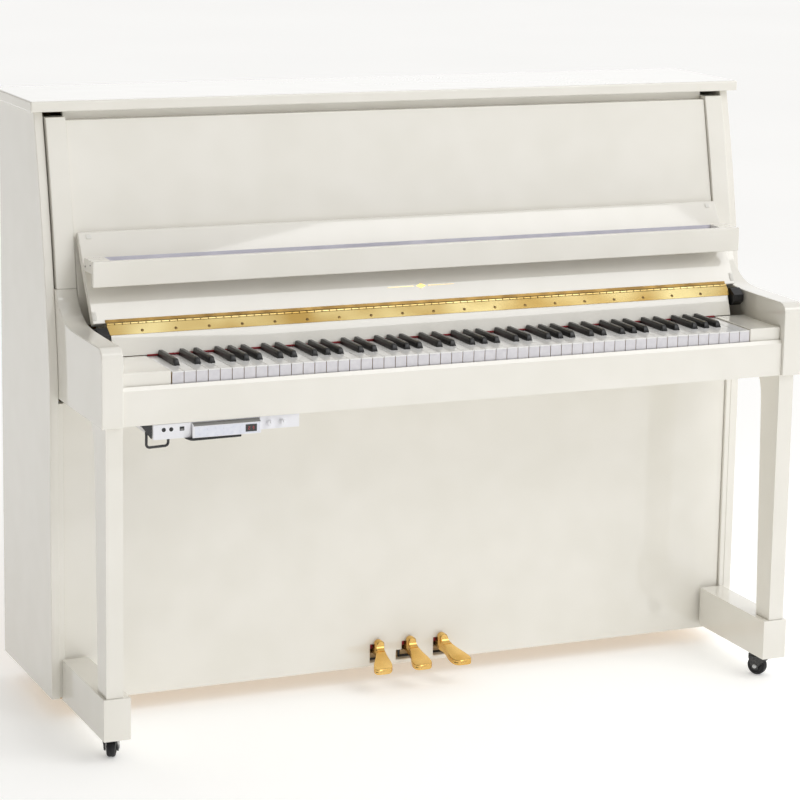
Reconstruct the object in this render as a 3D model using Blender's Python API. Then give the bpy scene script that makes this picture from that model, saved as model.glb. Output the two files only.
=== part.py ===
# An upright piano of the 121 cm class: case, keyboard, pedals, back frame and action rails.
# Metres, +Z up, +X to the player's right, the keyboard side faces -Y.
# The origin is on the floor, under the middle of the case's box.

import bpy
import bmesh
from math import cos, pi, radians, sin
from mathutils import Vector

GAP = 0.0003          # clearance between touching pieces

# Case
HEIGHT = 1.213        # floor to the top of the lid
SIDE_X = 0.7595       # outer face of a side panel
SIDE_T = 0.0175
SIDE_BOTTOM = 0.050
SIDE_TOP = 1.1905
BACK_Y = 0.300
LID_X = 0.771
LID_T = 0.021
LID_FRONT = 0.035
LID_BACK = 0.309
LID_AXIS = (0.0, 0.3006, 1.1885)
ARM_IN = 0.700        # inner face of an arm
ARM_OUT = SIDE_X - SIDE_T - GAP
ARM_BOTTOM = 0.649
ARM_FRONT = -0.309
ARM_TOP = 0.798
ARM_STEP = 0.860      # height where the arm meets its pilaster
LOWER_FRONT = -0.030  # front face of the lower panel
LOWER_BOTTOM = 0.038

# Keyboard
WHITE_COUNT = 52
WHITE_PITCH = 0.02365
WHITE_GAP = 0.0010
KEYS_LEFT = -0.6015
KEY_FRONT = -0.294
KEY_TOP = 0.745
KEY_DEPTH = 0.0235    # height of the white key's front
HEAD_LENGTH = 0.050   # the white key in front of the black keys
BLACK_TOP = 0.757
BLACK_WIDTH = 0.0105
BLACK_BOTTOM = 0.7265
FELT_Y = -0.1505
LEDGE_TOP = 0.7050     # part of the key slip under the keys
PIVOT = (-0.060, 0.700)        # balance rail, (y, z)
SPINE_FRONT = -0.115
KEY_END = 0.080

# Fallboard
PIN = (-0.118, 0.805)          # fallboard hinge axis, (y, z)
LEAN = radians(31.0)           # open board, back from upright
BOARD_X = 0.6965
BOARD_T = 0.015
BOARD_FACE = 0.0035            # face behind the pin
BOARD_LOW = 0.004
BOARD_HIGH = 0.1935
HINGE_X = 0.672
BASE_X = 0.668        # half length of the strip under the hinge
LEAF_HIGH = 0.0105
BARREL_R = 0.0031
TRAY_PIN = (-0.069, 0.910)     # tray on the board
BAR_PIN = (-0.100, 0.920)      # front bar on the tray
TRAY_X = 0.698
CHEEK_IN = 0.6595
CHEEK_LOW = 0.9015
CHEEK_HIGH = 0.9258
LUG_R = 0.0042

# Pedals
PEDAL_X = 0.004
NECK_PITCH = 0.071
TIP_PITCH = 0.090
PEDAL_AXIS = (0.020, 0.072)

# Floor gear
TOE_IN = 0.685
TOE_OUT = 0.738
TOE_FRONT = -0.304
TOE_LOW = 0.048
TOE_HIGH = 0.130
CASTER_X = 0.7115
CASTER_Y = -0.262
WHEEL_R = 0.020
REAR_X = 0.655
REAR_Y = 0.255
REAR_R = 0.024
FRAME_LOW = 0.060

BLACK_SHIFT = {0: -0.0022, 1: 0.0022, 3: -0.0030, 4: 0.0, 5: 0.0030}   # black keys after C, D, F, G and A
BANKS = (("bass", 0, 9), ("tenor", 9, 23), ("alto", 23, 37), ("treble", 37, 52))


def clear_scene():
    for obj in list(bpy.data.objects):
        bpy.data.objects.remove(obj, do_unlink=True)


def finish(name, colour, roughness, metallic=0.0):
    mat = bpy.data.materials.new(name)
    mat.use_nodes = True
    shader = mat.node_tree.nodes["Principled BSDF"]
    shader.inputs["Base Color"].default_value = (*colour, 1.0)
    shader.inputs["Roughness"].default_value = roughness
    shader.inputs["Metallic"].default_value = metallic
    mat.diffuse_color = (*colour, 1.0)
    return mat


# ---- building blocks ----

def add(name, bm, mat, smooth=False):
    bmesh.ops.recalc_face_normals(bm, faces=bm.faces)
    mesh = bpy.data.meshes.new(name)
    bm.to_mesh(mesh)
    bm.free()
    mesh.materials.append(mat)
    if smooth:
        mesh.shade_smooth()
        mesh.set_sharp_from_angle(angle=radians(35))
    obj = bpy.data.objects.new(name, mesh)
    bpy.context.scene.collection.objects.link(obj)
    return obj


def soften(obj, width, segments=1):
    bevel = obj.modifiers.new("edge", "BEVEL")
    bevel.width = width
    bevel.segments = segments
    bevel.limit_method = "ANGLE"
    bevel.angle_limit = radians(40)
    return obj


def cuboid(bm, low, high):
    verts = bmesh.ops.create_cube(bm, size=1.0)["verts"]
    for vert in verts:
        for axis in range(3):
            middle = (low[axis] + high[axis]) / 2
            vert.co[axis] = middle + vert.co[axis] * (high[axis] - low[axis])


def block(name, low, high, mat, edge=0.0, segments=1):
    bm = bmesh.new()
    cuboid(bm, low, high)
    obj = add(name, bm, mat)
    if edge:
        soften(obj, edge, segments)
    return obj


def extrude(bm, outline, place, start, end):
    """A closed prism: place(point, t) puts an outline point at the start or the end."""
    rings = [[bm.verts.new(place(p, t)) for p in outline] for t in (start, end)]
    bm.faces.new(rings[0])
    bm.faces.new(rings[1][::-1])
    for i in range(len(outline)):
        j = (i + 1) % len(outline)
        bm.faces.new((rings[0][i], rings[1][i], rings[1][j], rings[0][j]))


def along_x(point, t):
    return (t, point[0], point[1])


def along_z(point, t):
    return (point[0], point[1], t)


def profile_x(name, outline, x0, x1, mat, edge=0.0, smooth=False):
    """An outline of (y, z) points carried from x0 to x1."""
    bm = bmesh.new()
    extrude(bm, outline, along_x, min(x0, x1), max(x0, x1))
    obj = add(name, bm, mat, smooth)
    if edge:
        soften(obj, edge)
    return obj


def cylinder(name, centre, radius, length, direction, mat, sides=24):
    bm = bmesh.new()
    turn = Vector((0, 0, 1)).rotation_difference(Vector(direction)).to_matrix().to_4x4()
    turn.translation = Vector(centre)
    bmesh.ops.create_cone(bm, cap_ends=True, segments=sides, radius1=radius, radius2=radius,
                          depth=length, matrix=turn)
    return add(name, bm, mat, True)


def sweep(name, route, radius, mat, sides=8):
    """A round rod along a planar route."""
    route = [Vector(p) for p in route]
    ends = [route[1] - route[0], route[-1] - route[-2]]
    plane = ends[0].cross(ends[1] if ends[0].cross(ends[1]).length else Vector((0, 1, 0)))
    normal = plane.normalized()
    bm = bmesh.new()
    rings = []
    for i, point in enumerate(route):
        ahead = route[min(i + 1, len(route) - 1)] - route[max(i - 1, 0)]
        side = ahead.normalized().cross(normal)
        turns = [2 * pi * k / sides for k in range(sides)]
        rings.append([bm.verts.new(point + radius * (side * cos(a) + normal * sin(a))) for a in turns])
    for one, two in zip(rings, rings[1:]):
        for k in range(sides):
            bm.faces.new((one[k], one[(k + 1) % sides], two[(k + 1) % sides], two[k]))
    bm.faces.new(rings[0][::-1])
    bm.faces.new(rings[-1])
    return add(name, bm, mat, True)


def loft(name, rings, mat, smooth=True):
    bm = bmesh.new()
    rows = [[bm.verts.new(p) for p in ring] for ring in rings]
    count = len(rings[0])
    for one, two in zip(rows, rows[1:]):
        for k in range(count):
            bm.faces.new((one[k], one[(k + 1) % count], two[(k + 1) % count], two[k]))
    bm.faces.new(rows[0][::-1])
    bm.faces.new(rows[-1])
    return add(name, bm, mat, smooth)


def combine(obj, tool, operation):
    tool.hide_render = True
    tool.display_type = "WIRE"
    tool.name = obj.name + "." + operation.lower()
    boolean = obj.modifiers.new(operation.lower(), "BOOLEAN")
    boolean.operation = operation
    boolean.solver = "EXACT"
    boolean.object = tool
    return obj


def fuse(obj, *tools):
    for tool in tools:
        combine(obj, tool, "UNION")
    return obj


def cut(obj, *tools):
    for tool in tools:
        combine(obj, tool, "DIFFERENCE")
    return obj


def hang(obj, point):
    """Moves the object's origin to a point on its joint's axis; the shape stays where it is."""
    for vert in obj.data.vertices:
        vert.co -= Vector(point)
    obj.location = Vector(point)


def arc(centre, radius, first, last, steps):
    """Points of an arc from one angle to another, in degrees."""
    found = []
    for i in range(steps + 1):
        angle = radians(first + (last - first) * i / steps)
        found.append((centre[0] + radius * cos(angle), centre[1] + radius * sin(angle)))
    return found


# ---- case ----

def side_edge(z):
    """y of a side panel's front edge: a shallow hollow curve down to a plumb stretch."""
    low, high, plumb = 0.780, SIDE_TOP, 0.640
    if z <= plumb:
        return -0.038
    if z < low:
        share = (z - plumb) / (low - plumb)
        return -0.038 + 0.013 * share * share
    share = (z - low) / (high - low)
    return -0.025 + 0.083 * share - 0.026 * share * (1 - share)


def side_panel(name, sign, mat):
    heights = [SIDE_BOTTOM, 0.640, 0.710, 0.780, 0.880, 0.980, 1.085, SIDE_TOP]
    outline = [(side_edge(z), z) for z in heights] + [(BACK_Y, SIDE_TOP), (BACK_Y, SIDE_BOTTOM)]
    panel = profile_x(name, outline, sign * (SIDE_X - SIDE_T), sign * SIDE_X, mat)
    stile_in = sign * (SIDE_X - SIDE_T - 0.010)
    stile = profile_x(name + "_stile", [(-0.0365, 0.052), (-0.005, 0.052), (-0.005, 0.640), (-0.0365, 0.640)],
                      stile_in, sign * (SIDE_X - SIDE_T + 0.004), mat)
    return soften(fuse(panel, stile), 0.0012)


def arm(name, sign, mat):
    nose = arc((ARM_FRONT + 0.022, ARM_TOP - 0.022), 0.022, 90, 175, 5)
    outline = [(0.050, ARM_BOTTOM), (0.050, ARM_STEP), (-0.0225, ARM_STEP)]
    outline += [(-0.0330, 0.8390), (-0.0525, 0.8215), (-0.0720, 0.8100), (-0.0950, 0.8025), (-0.1320, 0.7990)]
    outline += [(-0.1900, ARM_TOP)] + nose + [(ARM_FRONT, ARM_BOTTOM)]
    return profile_x(name, outline, sign * ARM_IN, sign * ARM_OUT, mat, 0.0012, True)


def pilaster(name, sign, mat):
    heights = [ARM_STEP + GAP, 0.960, 1.070, 1.181]
    front = [(side_edge(z) - 0.010, z) for z in heights]
    back = [(y + 0.030, z) for y, z in reversed(front)]
    return profile_x(name, front + back, sign * ARM_IN, sign * (ARM_OUT - 0.0022), mat, 0.0012)


def upper_panel(mat):
    outline = [(-0.0387, 0.7908), (0.0490, 1.174), (0.0670, 1.174), (-0.0207, 0.7908)]
    return profile_x("upper_panel", outline, -ARM_IN + 0.0008, ARM_IN - 0.0008, mat, 0.0012)


def pedal_slots():
    """(low x, high x, low z, high z) of the pedal holes, and of the lock notch beside the middle one."""
    slots = []
    for side in (-1, 0, 1):
        middle = PEDAL_X + side * NECK_PITCH
        slots.append((middle - 0.0150, middle + 0.0150, 0.046, 0.0845))
    slots.append((PEDAL_X - 0.0280, PEDAL_X - 0.0140, 0.046, 0.0665))
    return slots


def lower_panel(mat):
    panel = block("lower_panel", (-0.7312, LOWER_FRONT, LOWER_BOTTOM), (0.7312, -0.012, 0.640), mat)
    for x0, x1, z0, z1 in pedal_slots():
        cut(panel, block("slot", (x0, -0.060, z0), (x1, 0.010, z1), mat))
    return soften(panel, 0.0010)


def lid(mat):
    obj = block("top_lid", (-LID_X, LID_FRONT, HEIGHT - LID_T), (LID_X, LID_BACK, HEIGHT), mat, 0.003, 2)
    hang(obj, LID_AXIS)


def lid_hinge(mat):
    """A barrel on the lid's axis, on a leaf that is screwed to the back rail."""
    leaf = block("lid_hinge", (-0.700, 0.2973, 1.1500), (0.700, 0.2987, 1.1885), mat)
    return fuse(leaf, cylinder("lid_barrel", LID_AXIS, 0.0028, 1.4004, (1, 0, 0), mat, 16))


def leg(name, sign, mat):
    outline = [(-0.300, TOE_HIGH + GAP), (-0.300, ARM_BOTTOM - GAP), (-0.202, ARM_BOTTOM - GAP)]
    outline += [(-0.213, 0.6400), (-0.2225, 0.6260), (-0.2290, 0.6060), (-0.2315, 0.5800)]
    outline += [(-0.248, TOE_HIGH + GAP)]
    return profile_x(name, outline, sign * 0.6985, sign * 0.7320, mat, 0.0012)


def toe_block(name, sign, mat):
    low = (min(sign * TOE_IN, sign * TOE_OUT), TOE_FRONT, TOE_LOW)
    high = (max(sign * TOE_IN, sign * TOE_OUT), LOWER_FRONT - 0.0085, TOE_HIGH)
    return block(name, low, high, mat, 0.0015)


# ---- back, soundboard, plate and action ----

def back_frame(mat):
    frame = block("back_frame", (-0.7400, 0.225, FRAME_LOW), (0.7400, 0.297, 0.165), mat)
    rail = block("rail", (-0.7400, 0.225, 1.060), (0.7400, 0.297, 1.180), mat)
    posts = [block("post", (x - 0.035, 0.2252, 0.150), (x + 0.035, 0.2968, 1.075), mat)
             for x in (-0.700, -0.350, 0.0, 0.350, 0.700)]
    return fuse(frame, *posts, rail)


def iron_plate(mat):
    plate = block("iron_plate", (-0.7250, 0.190, 0.105), (0.7250, 0.200, 1.150), mat)
    struts = [block("strut", (x - 0.012, 0.172, 0.150), (x + 0.012, 0.192, 1.100), mat)
              for x in (-0.560, -0.150, 0.210, 0.540)]
    return fuse(plate, *struts)


def action_frame(mat):
    rail = block("action_frame", (-0.640, 0.075, 0.870), (0.640, 0.100, 0.905), mat)
    beams = [block("beam", (-0.640, 0.078, z), (0.640, 0.092, z + 0.022), mat) for z in (0.790, 1.010)]
    stands = [block("stand", (x - 0.006, 0.076, 0.785), (x + 0.006, 0.098, 1.060), mat)
              for x in (-0.630, -0.210, 0.210, 0.630)]
    return fuse(rail, *stands, *beams)


def mute_rail(mat):
    obj = block("mute_rail", (-0.640, 0.040, 0.990), (0.640, 0.047, 1.025), mat, 0.001)
    hang(obj, (0.0, 0.0435, 1.0075))


# ---- keyboard ----

def key_slip(mat):
    front = ARM_FRONT + 0.007
    outline = [(front, ARM_BOTTOM), (front, 0.709), (-0.2975, 0.7222), (-0.2963, 0.7222), (-0.2963, LEDGE_TOP),
               (-0.2455, LEDGE_TOP), (-0.2455, 0.700), (-0.2795, 0.700), (-0.2795, ARM_BOTTOM)]
    return profile_x("key_slip", outline, -ARM_IN + GAP, ARM_IN - GAP, mat, 0.0012)


def key_block(name, x0, x1, mat):
    under = LEDGE_TOP + GAP
    outline = [(KEY_FRONT + 0.001, under), (KEY_FRONT + 0.001, 0.7475), (-0.149, 0.7475),
               (-0.149, 0.6755), (-0.2450, 0.6755), (-0.2450, under)]
    return profile_x(name, outline, x0, x1, mat, 0.0010)


def key_frame(mat):
    frame = block("key_frame", (-0.600, -0.274, 0.6753), (0.626, -0.246, 0.6960), mat)
    balance = block("balance", (-0.600, -0.074, 0.6753), (0.626, -0.046, 0.6985), mat)
    rear = block("rear", (-0.600, 0.052, 0.6753), (0.626, 0.084, 0.6965), mat)
    ties = [block("tie", (x - 0.020, -0.260, 0.6755), (x + 0.020, 0.070, 0.6900), mat)
            for x in (-0.570, 0.0, 0.590)]
    return fuse(frame, *ties, balance, rear)


def degree(index):
    """0 to 6 for C to B of a white key counted from the lowest A."""
    return (index + 5) % 7


def has_black(index):
    """True where a black key follows this white one."""
    return degree(index) in BLACK_SHIFT and index < WHITE_COUNT - 1


def black_centre(index):
    return KEYS_LEFT + (index + 1) * WHITE_PITCH + BLACK_SHIFT[degree(index)]


def white_outline(index):
    """Plan of one white key: a full head and a tail between its black neighbours."""
    left = KEYS_LEFT + index * WHITE_PITCH + WHITE_GAP / 2
    right = left + WHITE_PITCH - WHITE_GAP
    neck = BLACK_WIDTH / 2 + 0.0012
    tail_left = black_centre(index - 1) + neck if index and has_black(index - 1) else left
    tail_right = black_centre(index) - neck if has_black(index) else right
    head = KEY_FRONT + HEAD_LENGTH
    tail = SPINE_FRONT + 0.015
    points = [(left, KEY_FRONT), (right, KEY_FRONT)]
    points += [(right, head), (tail_right, head)] if tail_right != right else []
    points += [(tail_right, tail), (tail_left, tail)]
    points += [(tail_left, head), (left, head)] if tail_left != left else []
    return points


def bank_span(first, last):
    left = KEYS_LEFT + first * WHITE_PITCH + WHITE_GAP / 2
    return left, left + (last - first) * WHITE_PITCH - WHITE_GAP


def white_bank(name, first, last, mat):
    bm = bmesh.new()
    for index in range(first, last):
        extrude(bm, white_outline(index), along_z, KEY_TOP - KEY_DEPTH, KEY_TOP)
    bank = add(name, bm, mat)
    spine = [(SPINE_FRONT, 0.700), (KEY_END, 0.700), (KEY_END, 0.712), (-0.0940, 0.712),
             (-0.0940, 0.7225), (SPINE_FRONT, 0.7225)]
    left, right = bank_span(first, last)
    fuse(bank, profile_x("spine", spine, left + 0.0004, right - 0.0004, mat))
    hang(bank, ((left + right) / 2, *PIVOT))


def black_bank(name, first, last, mat):
    left, right = bank_span(first, last)
    outline = [(KEY_FRONT + HEAD_LENGTH + 0.001, BLACK_BOTTOM), (-0.078, BLACK_BOTTOM), (-0.078, 0.744),
               (FELT_Y, 0.744), (FELT_Y, BLACK_TOP), (-0.238, BLACK_TOP), (-0.242, 0.7545)]
    bm = bmesh.new()
    for index in filter(has_black, range(first, last)):
        middle = black_centre(index)
        extrude(bm, outline, along_x, middle - BLACK_WIDTH / 2, middle + BLACK_WIDTH / 2)
    bank = add(name, bm, mat)
    spine = [(-0.0880, 0.7270), (KEY_END, 0.7270), (KEY_END, 0.7430), (-0.0880, 0.7430)]
    fuse(bank, profile_x("spine", spine, left + 0.0004, right - 0.0004, mat))
    hang(bank, ((left + right) / 2, PIVOT[0], BLACK_BOTTOM))


# ---- fallboard and music tray ----

def on_board(along, out):
    """(y, z) of a point on the open fallboard: along it from the pin, and out from its face side."""
    return (PIN[0] + along * sin(LEAN) - out * cos(LEAN), PIN[1] + along * cos(LEAN) + out * sin(LEAN))


def board_strip(name, low, high, back, front, half, mat, edge=0.0):
    outline = [on_board(low, front), on_board(high, front), on_board(high, back), on_board(low, back)]
    return profile_x(name, outline, -half, half, mat, edge)


def tray_lug(sign, mat):
    """A lug on the board's face that carries the tray's pin, inside the tray's cheek."""
    outline = [on_board(0.1020, -BOARD_FACE - 0.002), on_board(0.1280, -BOARD_FACE - 0.002)]
    outline += [on_board(0.1240, -BOARD_FACE + 0.004)] + arc(TRAY_PIN, LUG_R, 70, 240, 8)
    return profile_x("tray_lug", outline, sign * 0.6480, sign * (CHEEK_IN - GAP), mat)


def fallboard(board_mat, brass):
    board = board_strip("fallboard", BOARD_LOW, BOARD_HIGH, -BOARD_FACE - BOARD_T, -BOARD_FACE,
                        BOARD_X, board_mat, 0.0012)
    leaf = board_strip("hinge_leaf_moving", BOARD_LOW + 0.0005, LEAF_HIGH, -BOARD_FACE + GAP, -0.0020, HINGE_X, brass)
    for sign in (-1, 1):
        fuse(board, tray_lug(sign, board_mat))
    for obj in (board, leaf):
        hang(obj, (0.0, *PIN))


def fallboard_base(mat):
    outline = [(-0.1480, 0.7480), (-0.1345, 0.7865), (-0.1225, 0.8000), (-0.1130, 0.7890),
               (-0.0405, 0.7890), (-0.0405, 0.7770), (-0.0950, 0.7770), (-0.0950, 0.7480)]
    return profile_x("fallboard_base", outline, -BASE_X, BASE_X, mat)


def hinge_leaf(mat):
    """The fixed leaf lies on the base's upper slope and carries the barrel."""
    rise = Vector((0.0120, 0.0135)).normalized()
    lift = Vector((-rise[1], rise[0]))
    low = Vector((-0.1345, 0.7865)) + lift * GAP + rise * 0.0005
    high = Vector(PIN) + rise * 0.0005
    outline = [low, low + lift * 0.0012, high + lift * 0.0015, high + lift * GAP]
    leaf = profile_x("hinge_leaf_fixed", [tuple(p) for p in outline], -HINGE_X, HINGE_X, mat)
    barrel = cylinder("barrel", (0, *PIN), BARREL_R - 0.0008, 2 * HINGE_X - 0.002, (1, 0, 0), mat, 12)
    return fuse(leaf, barrel)


def tray_shelf(mat):
    """A shelf with a low wall at its back, between two cheeks that hold the pins."""
    shelf = block("tray_shelf", (-0.664, -0.1060, 0.9150), (0.664, -0.0635, 0.9180), mat)
    fuse(shelf, block("tray_wall", (-0.664, -0.0660, 0.9152), (0.664, -0.0637, 0.9252), mat))
    nose = arc((-0.0998, CHEEK_HIGH - 0.0080), 0.0080, 90, 180, 4)
    outline = [(-0.0617, CHEEK_LOW), (-0.0617, CHEEK_HIGH)] + nose + [(-0.1078, CHEEK_LOW)]
    for sign in (-1, 1):
        fuse(shelf, profile_x("tray_cheek", outline, sign * CHEEK_IN, sign * (TRAY_X - 0.0005), mat))
    hang(shelf, (0.0, *TRAY_PIN))


def tray_bar(mat):
    bar = block("tray_bar", (-TRAY_X, -0.1200, 0.8770), (TRAY_X, -0.1083, 0.9260), mat, 0.0010)
    hang(bar, (0.0, *BAR_PIN))


def damper(name, sign, mat):
    outline = [(-0.1500, 0.7905), (-0.1500, 0.7760), (-0.1370, 0.7665), (-0.1060, 0.7665),
               (-0.1000, 0.7800), (-0.1120, 0.7970), (-0.1320, 0.8020)]
    return profile_x(name, outline, sign * 0.6727, sign * 0.6975, mat, 0.0008)


# ---- control unit ----

def control_unit(mat):
    unit = block("control_unit", (-0.6400, -0.296, 0.6225), (-0.3500, -0.190, 0.6487), mat)
    desk = block("desk", (-0.5655, -0.307, 0.6190), (-0.4300, -0.200, 0.6455), mat)
    return fuse(unit, desk)


def jack_plate(mat):
    plate = block("jack_plate", (-0.6400, -0.3000, 0.6195), (-0.5668, -0.2963, 0.6480), mat)
    sockets = [cylinder("socket", (x, -0.298, 0.6375), 0.0036, 0.02, (0, 1, 0), mat, 16)
               for x in (-0.6195, -0.6050)]
    port = block("port", (-0.5880, -0.310, 0.6340), (-0.5800, -0.290, 0.6410), mat)
    return cut(plate, *sockets, port)


def headphone_hook(mat):
    z = 0.6035
    route = [(-0.6495, -0.288, 0.645), (-0.6495, -0.288, z + 0.006)]
    route += [(-0.6435 + 0.006 * cos(a), -0.288, z + 0.006 + 0.006 * sin(a))
              for a in (radians(200), radians(225), radians(250))]
    route += [(-0.6435, -0.288, z), (-0.6130, -0.288, z + 0.001)]
    route += [(-0.6130 + 0.006 * cos(a), -0.288, z + 0.007 + 0.006 * sin(a))
              for a in (radians(290), radians(315), radians(340))]
    route += [(-0.6070, -0.288, 0.6165)]
    hook = sweep("headphone_hook", route, 0.0026, mat)
    plate = block("plate", (-0.6640, -0.296, 0.6430), (-0.6412, -0.230, 0.6487), mat)
    return fuse(hook, plate)


def knob(name, x, mat):
    obj = cylinder(name, (x, -0.3025, 0.6360), 0.0070, 0.0120, (0, 1, 0), mat, 24)
    hang(obj, (x, -0.3025, 0.6360))


# ---- pedals ----

def pedal(name, side, mat):
    """Neck, boss and a paddle that fans out and drops towards its round tip."""
    neck = PEDAL_X + side * NECK_PITCH
    fan = side * (TIP_PITCH - NECK_PITCH)
    sections = [(0.045, 0.0085, 0.0640, 0.0790), (-0.034, 0.0085, 0.0640, 0.0790),
                (-0.037, 0.0090, 0.0620, 0.0930), (-0.041, 0.0090, 0.0615, 0.0970),
                (-0.050, 0.0088, 0.0605, 0.0965), (-0.054, 0.0090, 0.0600, 0.0800),
                (-0.072, 0.0130, 0.0570, 0.0720), (-0.088, 0.0185, 0.0515, 0.0650),
                (-0.101, 0.0205, 0.0480, 0.0600), (-0.108, 0.0185, 0.0465, 0.0580),
                (-0.112, 0.0130, 0.0462, 0.0572)]
    rings = []
    for y, half, low, high in sections:
        reach = max(0.0, (-0.045 - y) / 0.067)
        x = neck + fan * reach
        nip = 0.0025
        rings.append([(x - half, y, low + nip), (x - half + nip, y, low), (x + half - nip, y, low),
                      (x + half, y, low + nip), (x + half, y, high - nip), (x + half - nip, y, high),
                      (x - half + nip, y, high), (x - half, y, high - nip)])
    obj = loft(name, rings, mat)
    hang(obj, (neck, *PEDAL_AXIS))


def pedal_bracket(mat):
    bracket = block("pedal_bracket", (-0.090, 0.0470, 0.0578), (0.098, 0.0600, 0.1000), mat)
    for side in (-1, 0, 1):
        for flank in (-1, 1):
            x = PEDAL_X + side * NECK_PITCH + flank * 0.0120
            fuse(bracket, block("ear", (x - 0.002, 0.0080, 0.0600), (x + 0.002, 0.0500, 0.0860), mat))
    return bracket


# ---- casters ----

def turned(point, centre, angle):
    x, y = point[0] - centre[0], point[1] - centre[1]
    return (centre[0] + x * cos(angle) - y * sin(angle), centre[1] + x * sin(angle) + y * cos(angle), point[2])


def caster(label, centre, radius, top, trail, yaw, fork_mat, wheel_mat):
    """A forked bracket and its wheel; the wheel's axle is square to the yaw."""
    x, y = centre
    hub = (x, y + trail, radius)
    fork = block(label + "_fork", (x - 0.015, y - 0.016, top - 0.0055), (x + 0.015, y + trail + 0.016, top), fork_mat)
    for flank in (-1, 1):
        middle = x + flank * 0.0125
        fuse(fork, block("cheek", (middle - 0.0018, y + trail - 0.010, radius - 0.005),
                         (middle + 0.0018, y + trail + 0.010, top - 0.001), fork_mat))
    wheel = cylinder(label + "_wheel", hub, radius, 0.0165, (1, 0, 0), wheel_mat, 24)
    for obj in [fork, wheel] + [m.object for m in fork.modifiers]:
        for vert in obj.data.vertices:
            vert.co = turned(vert.co, centre, yaw)
    hang(fork, (x, y, top))
    hang(wheel, turned(hub, centre, yaw))


def main():
    clear_scene()
    lacquer = finish("ivory_polyester", (0.80, 0.78, 0.73), 0.08)
    white_key = finish("white_key_acrylic", (0.88, 0.87, 0.86), 0.20)
    black_key = finish("black_key_phenolic", (0.012, 0.012, 0.013), 0.35)
    brass = finish("polished_brass", (0.83, 0.62, 0.25), 0.20, 1.0)
    black = finish("black_plastic", (0.02, 0.02, 0.02), 0.40)
    shell = finish("white_plastic", (0.82, 0.82, 0.84), 0.35)
    spruce = finish("spruce", (0.72, 0.54, 0.33), 0.55)
    bronze = finish("bronzed_iron", (0.52, 0.38, 0.16), 0.45, 0.6)
    lining = finish("grey_lining", (0.55, 0.54, 0.62), 0.60)

    for label, sign in (("left", -1), ("right", 1)):
        side_panel("side_panel_" + label, sign, lacquer)
        arm("arm_" + label, sign, lacquer)
        pilaster("pilaster_" + label, sign, lacquer)
        leg("leg_" + label, sign, lacquer)
        toe_block("toe_block_" + label, sign, lacquer)
        damper("fallboard_damper_" + label, sign, black)
    upper_panel(lacquer)
    lower_panel(lacquer)
    lid(lacquer)
    lid_hinge(brass)
    block("bottom_board", (-0.7415, -0.0040, 0.0385), (0.7415, 0.2240, 0.0575), spruce)
    block("keybed", (-ARM_IN + GAP, -0.2790, 0.6490), (ARM_IN - GAP, 0.1500, 0.6750), lacquer)

    back_frame(spruce)
    block("soundboard", (-0.7400, 0.2140, 0.1000), (0.7400, 0.2247, 1.0570), spruce)
    iron_plate(bronze)
    block("pin_block", (-0.7400, 0.2005, 1.0600), (0.7400, 0.2247, 1.1800), spruce)
    action_frame(spruce)
    mute_rail(spruce)

    key_slip(lacquer)
    key_block("key_block_left", -ARM_IN + GAP, KEYS_LEFT - 0.0015, lacquer)
    keys_right = KEYS_LEFT + WHITE_COUNT * WHITE_PITCH
    key_block("key_block_right", keys_right + 0.0015, ARM_IN - GAP, lacquer)
    key_frame(spruce)
    for label, first, last in BANKS:
        white_bank("white_keys_" + label, first, last, white_key)
        black_bank("black_keys_" + label, first, last, black_key)

    fallboard_base(lacquer)
    hinge_leaf(brass)
    fallboard(lacquer, brass)
    tray_shelf(lining)
    tray_bar(lacquer)

    control_unit(shell)
    jack_plate(shell)
    headphone_hook(black)
    knob("volume_knob", -0.4123, shell)
    knob("mode_knob", -0.3860, shell)

    for label, side in (("left", -1), ("middle", 0), ("right", 1)):
        pedal("pedal_" + label, side, brass)
    pedal_bracket(spruce)

    caster("front_left", (-CASTER_X, CASTER_Y), WHEEL_R, TOE_LOW - GAP, 0.012, radians(-25), black, black)
    caster("front_right", (CASTER_X, CASTER_Y), WHEEL_R, TOE_LOW - GAP, 0.012, radians(35), black, black)
    for label, sign in (("rear_left", -1), ("rear_right", 1)):
        caster(label, (sign * REAR_X, REAR_Y), REAR_R, FRAME_LOW - GAP, 0.0, 0.0, black, black)


main()
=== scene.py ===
import math
import random

import bmesh
import bpy
from mathutils import Matrix, Vector


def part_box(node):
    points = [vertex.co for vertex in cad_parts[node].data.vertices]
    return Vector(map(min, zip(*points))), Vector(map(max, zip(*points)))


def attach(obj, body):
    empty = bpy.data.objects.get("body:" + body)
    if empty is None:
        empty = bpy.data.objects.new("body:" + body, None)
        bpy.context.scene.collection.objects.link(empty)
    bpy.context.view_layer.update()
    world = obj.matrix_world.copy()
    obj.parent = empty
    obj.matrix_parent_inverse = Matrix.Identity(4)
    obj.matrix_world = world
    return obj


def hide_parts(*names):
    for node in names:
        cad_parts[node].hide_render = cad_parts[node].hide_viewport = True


random.seed(88)  # the tuning pins stand at the same turns in every run
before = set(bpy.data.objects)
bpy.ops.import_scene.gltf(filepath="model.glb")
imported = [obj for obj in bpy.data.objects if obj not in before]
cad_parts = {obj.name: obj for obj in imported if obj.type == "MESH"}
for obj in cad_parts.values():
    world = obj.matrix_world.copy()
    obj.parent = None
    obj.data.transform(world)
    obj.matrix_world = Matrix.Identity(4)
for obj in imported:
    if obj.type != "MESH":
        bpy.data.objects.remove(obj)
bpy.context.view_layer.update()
print("frame loaded")


def hexColour(code):
    # sRGB hex to the linear colour that shader sockets take
    channels = [int(code[i:i + 2], 16) / 255 for i in (1, 3, 5)]
    linear = [c / 12.92 if c <= 0.04045 else ((c + 0.055) / 1.055) ** 2.4 for c in channels]
    return (*linear, 1.0)


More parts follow.
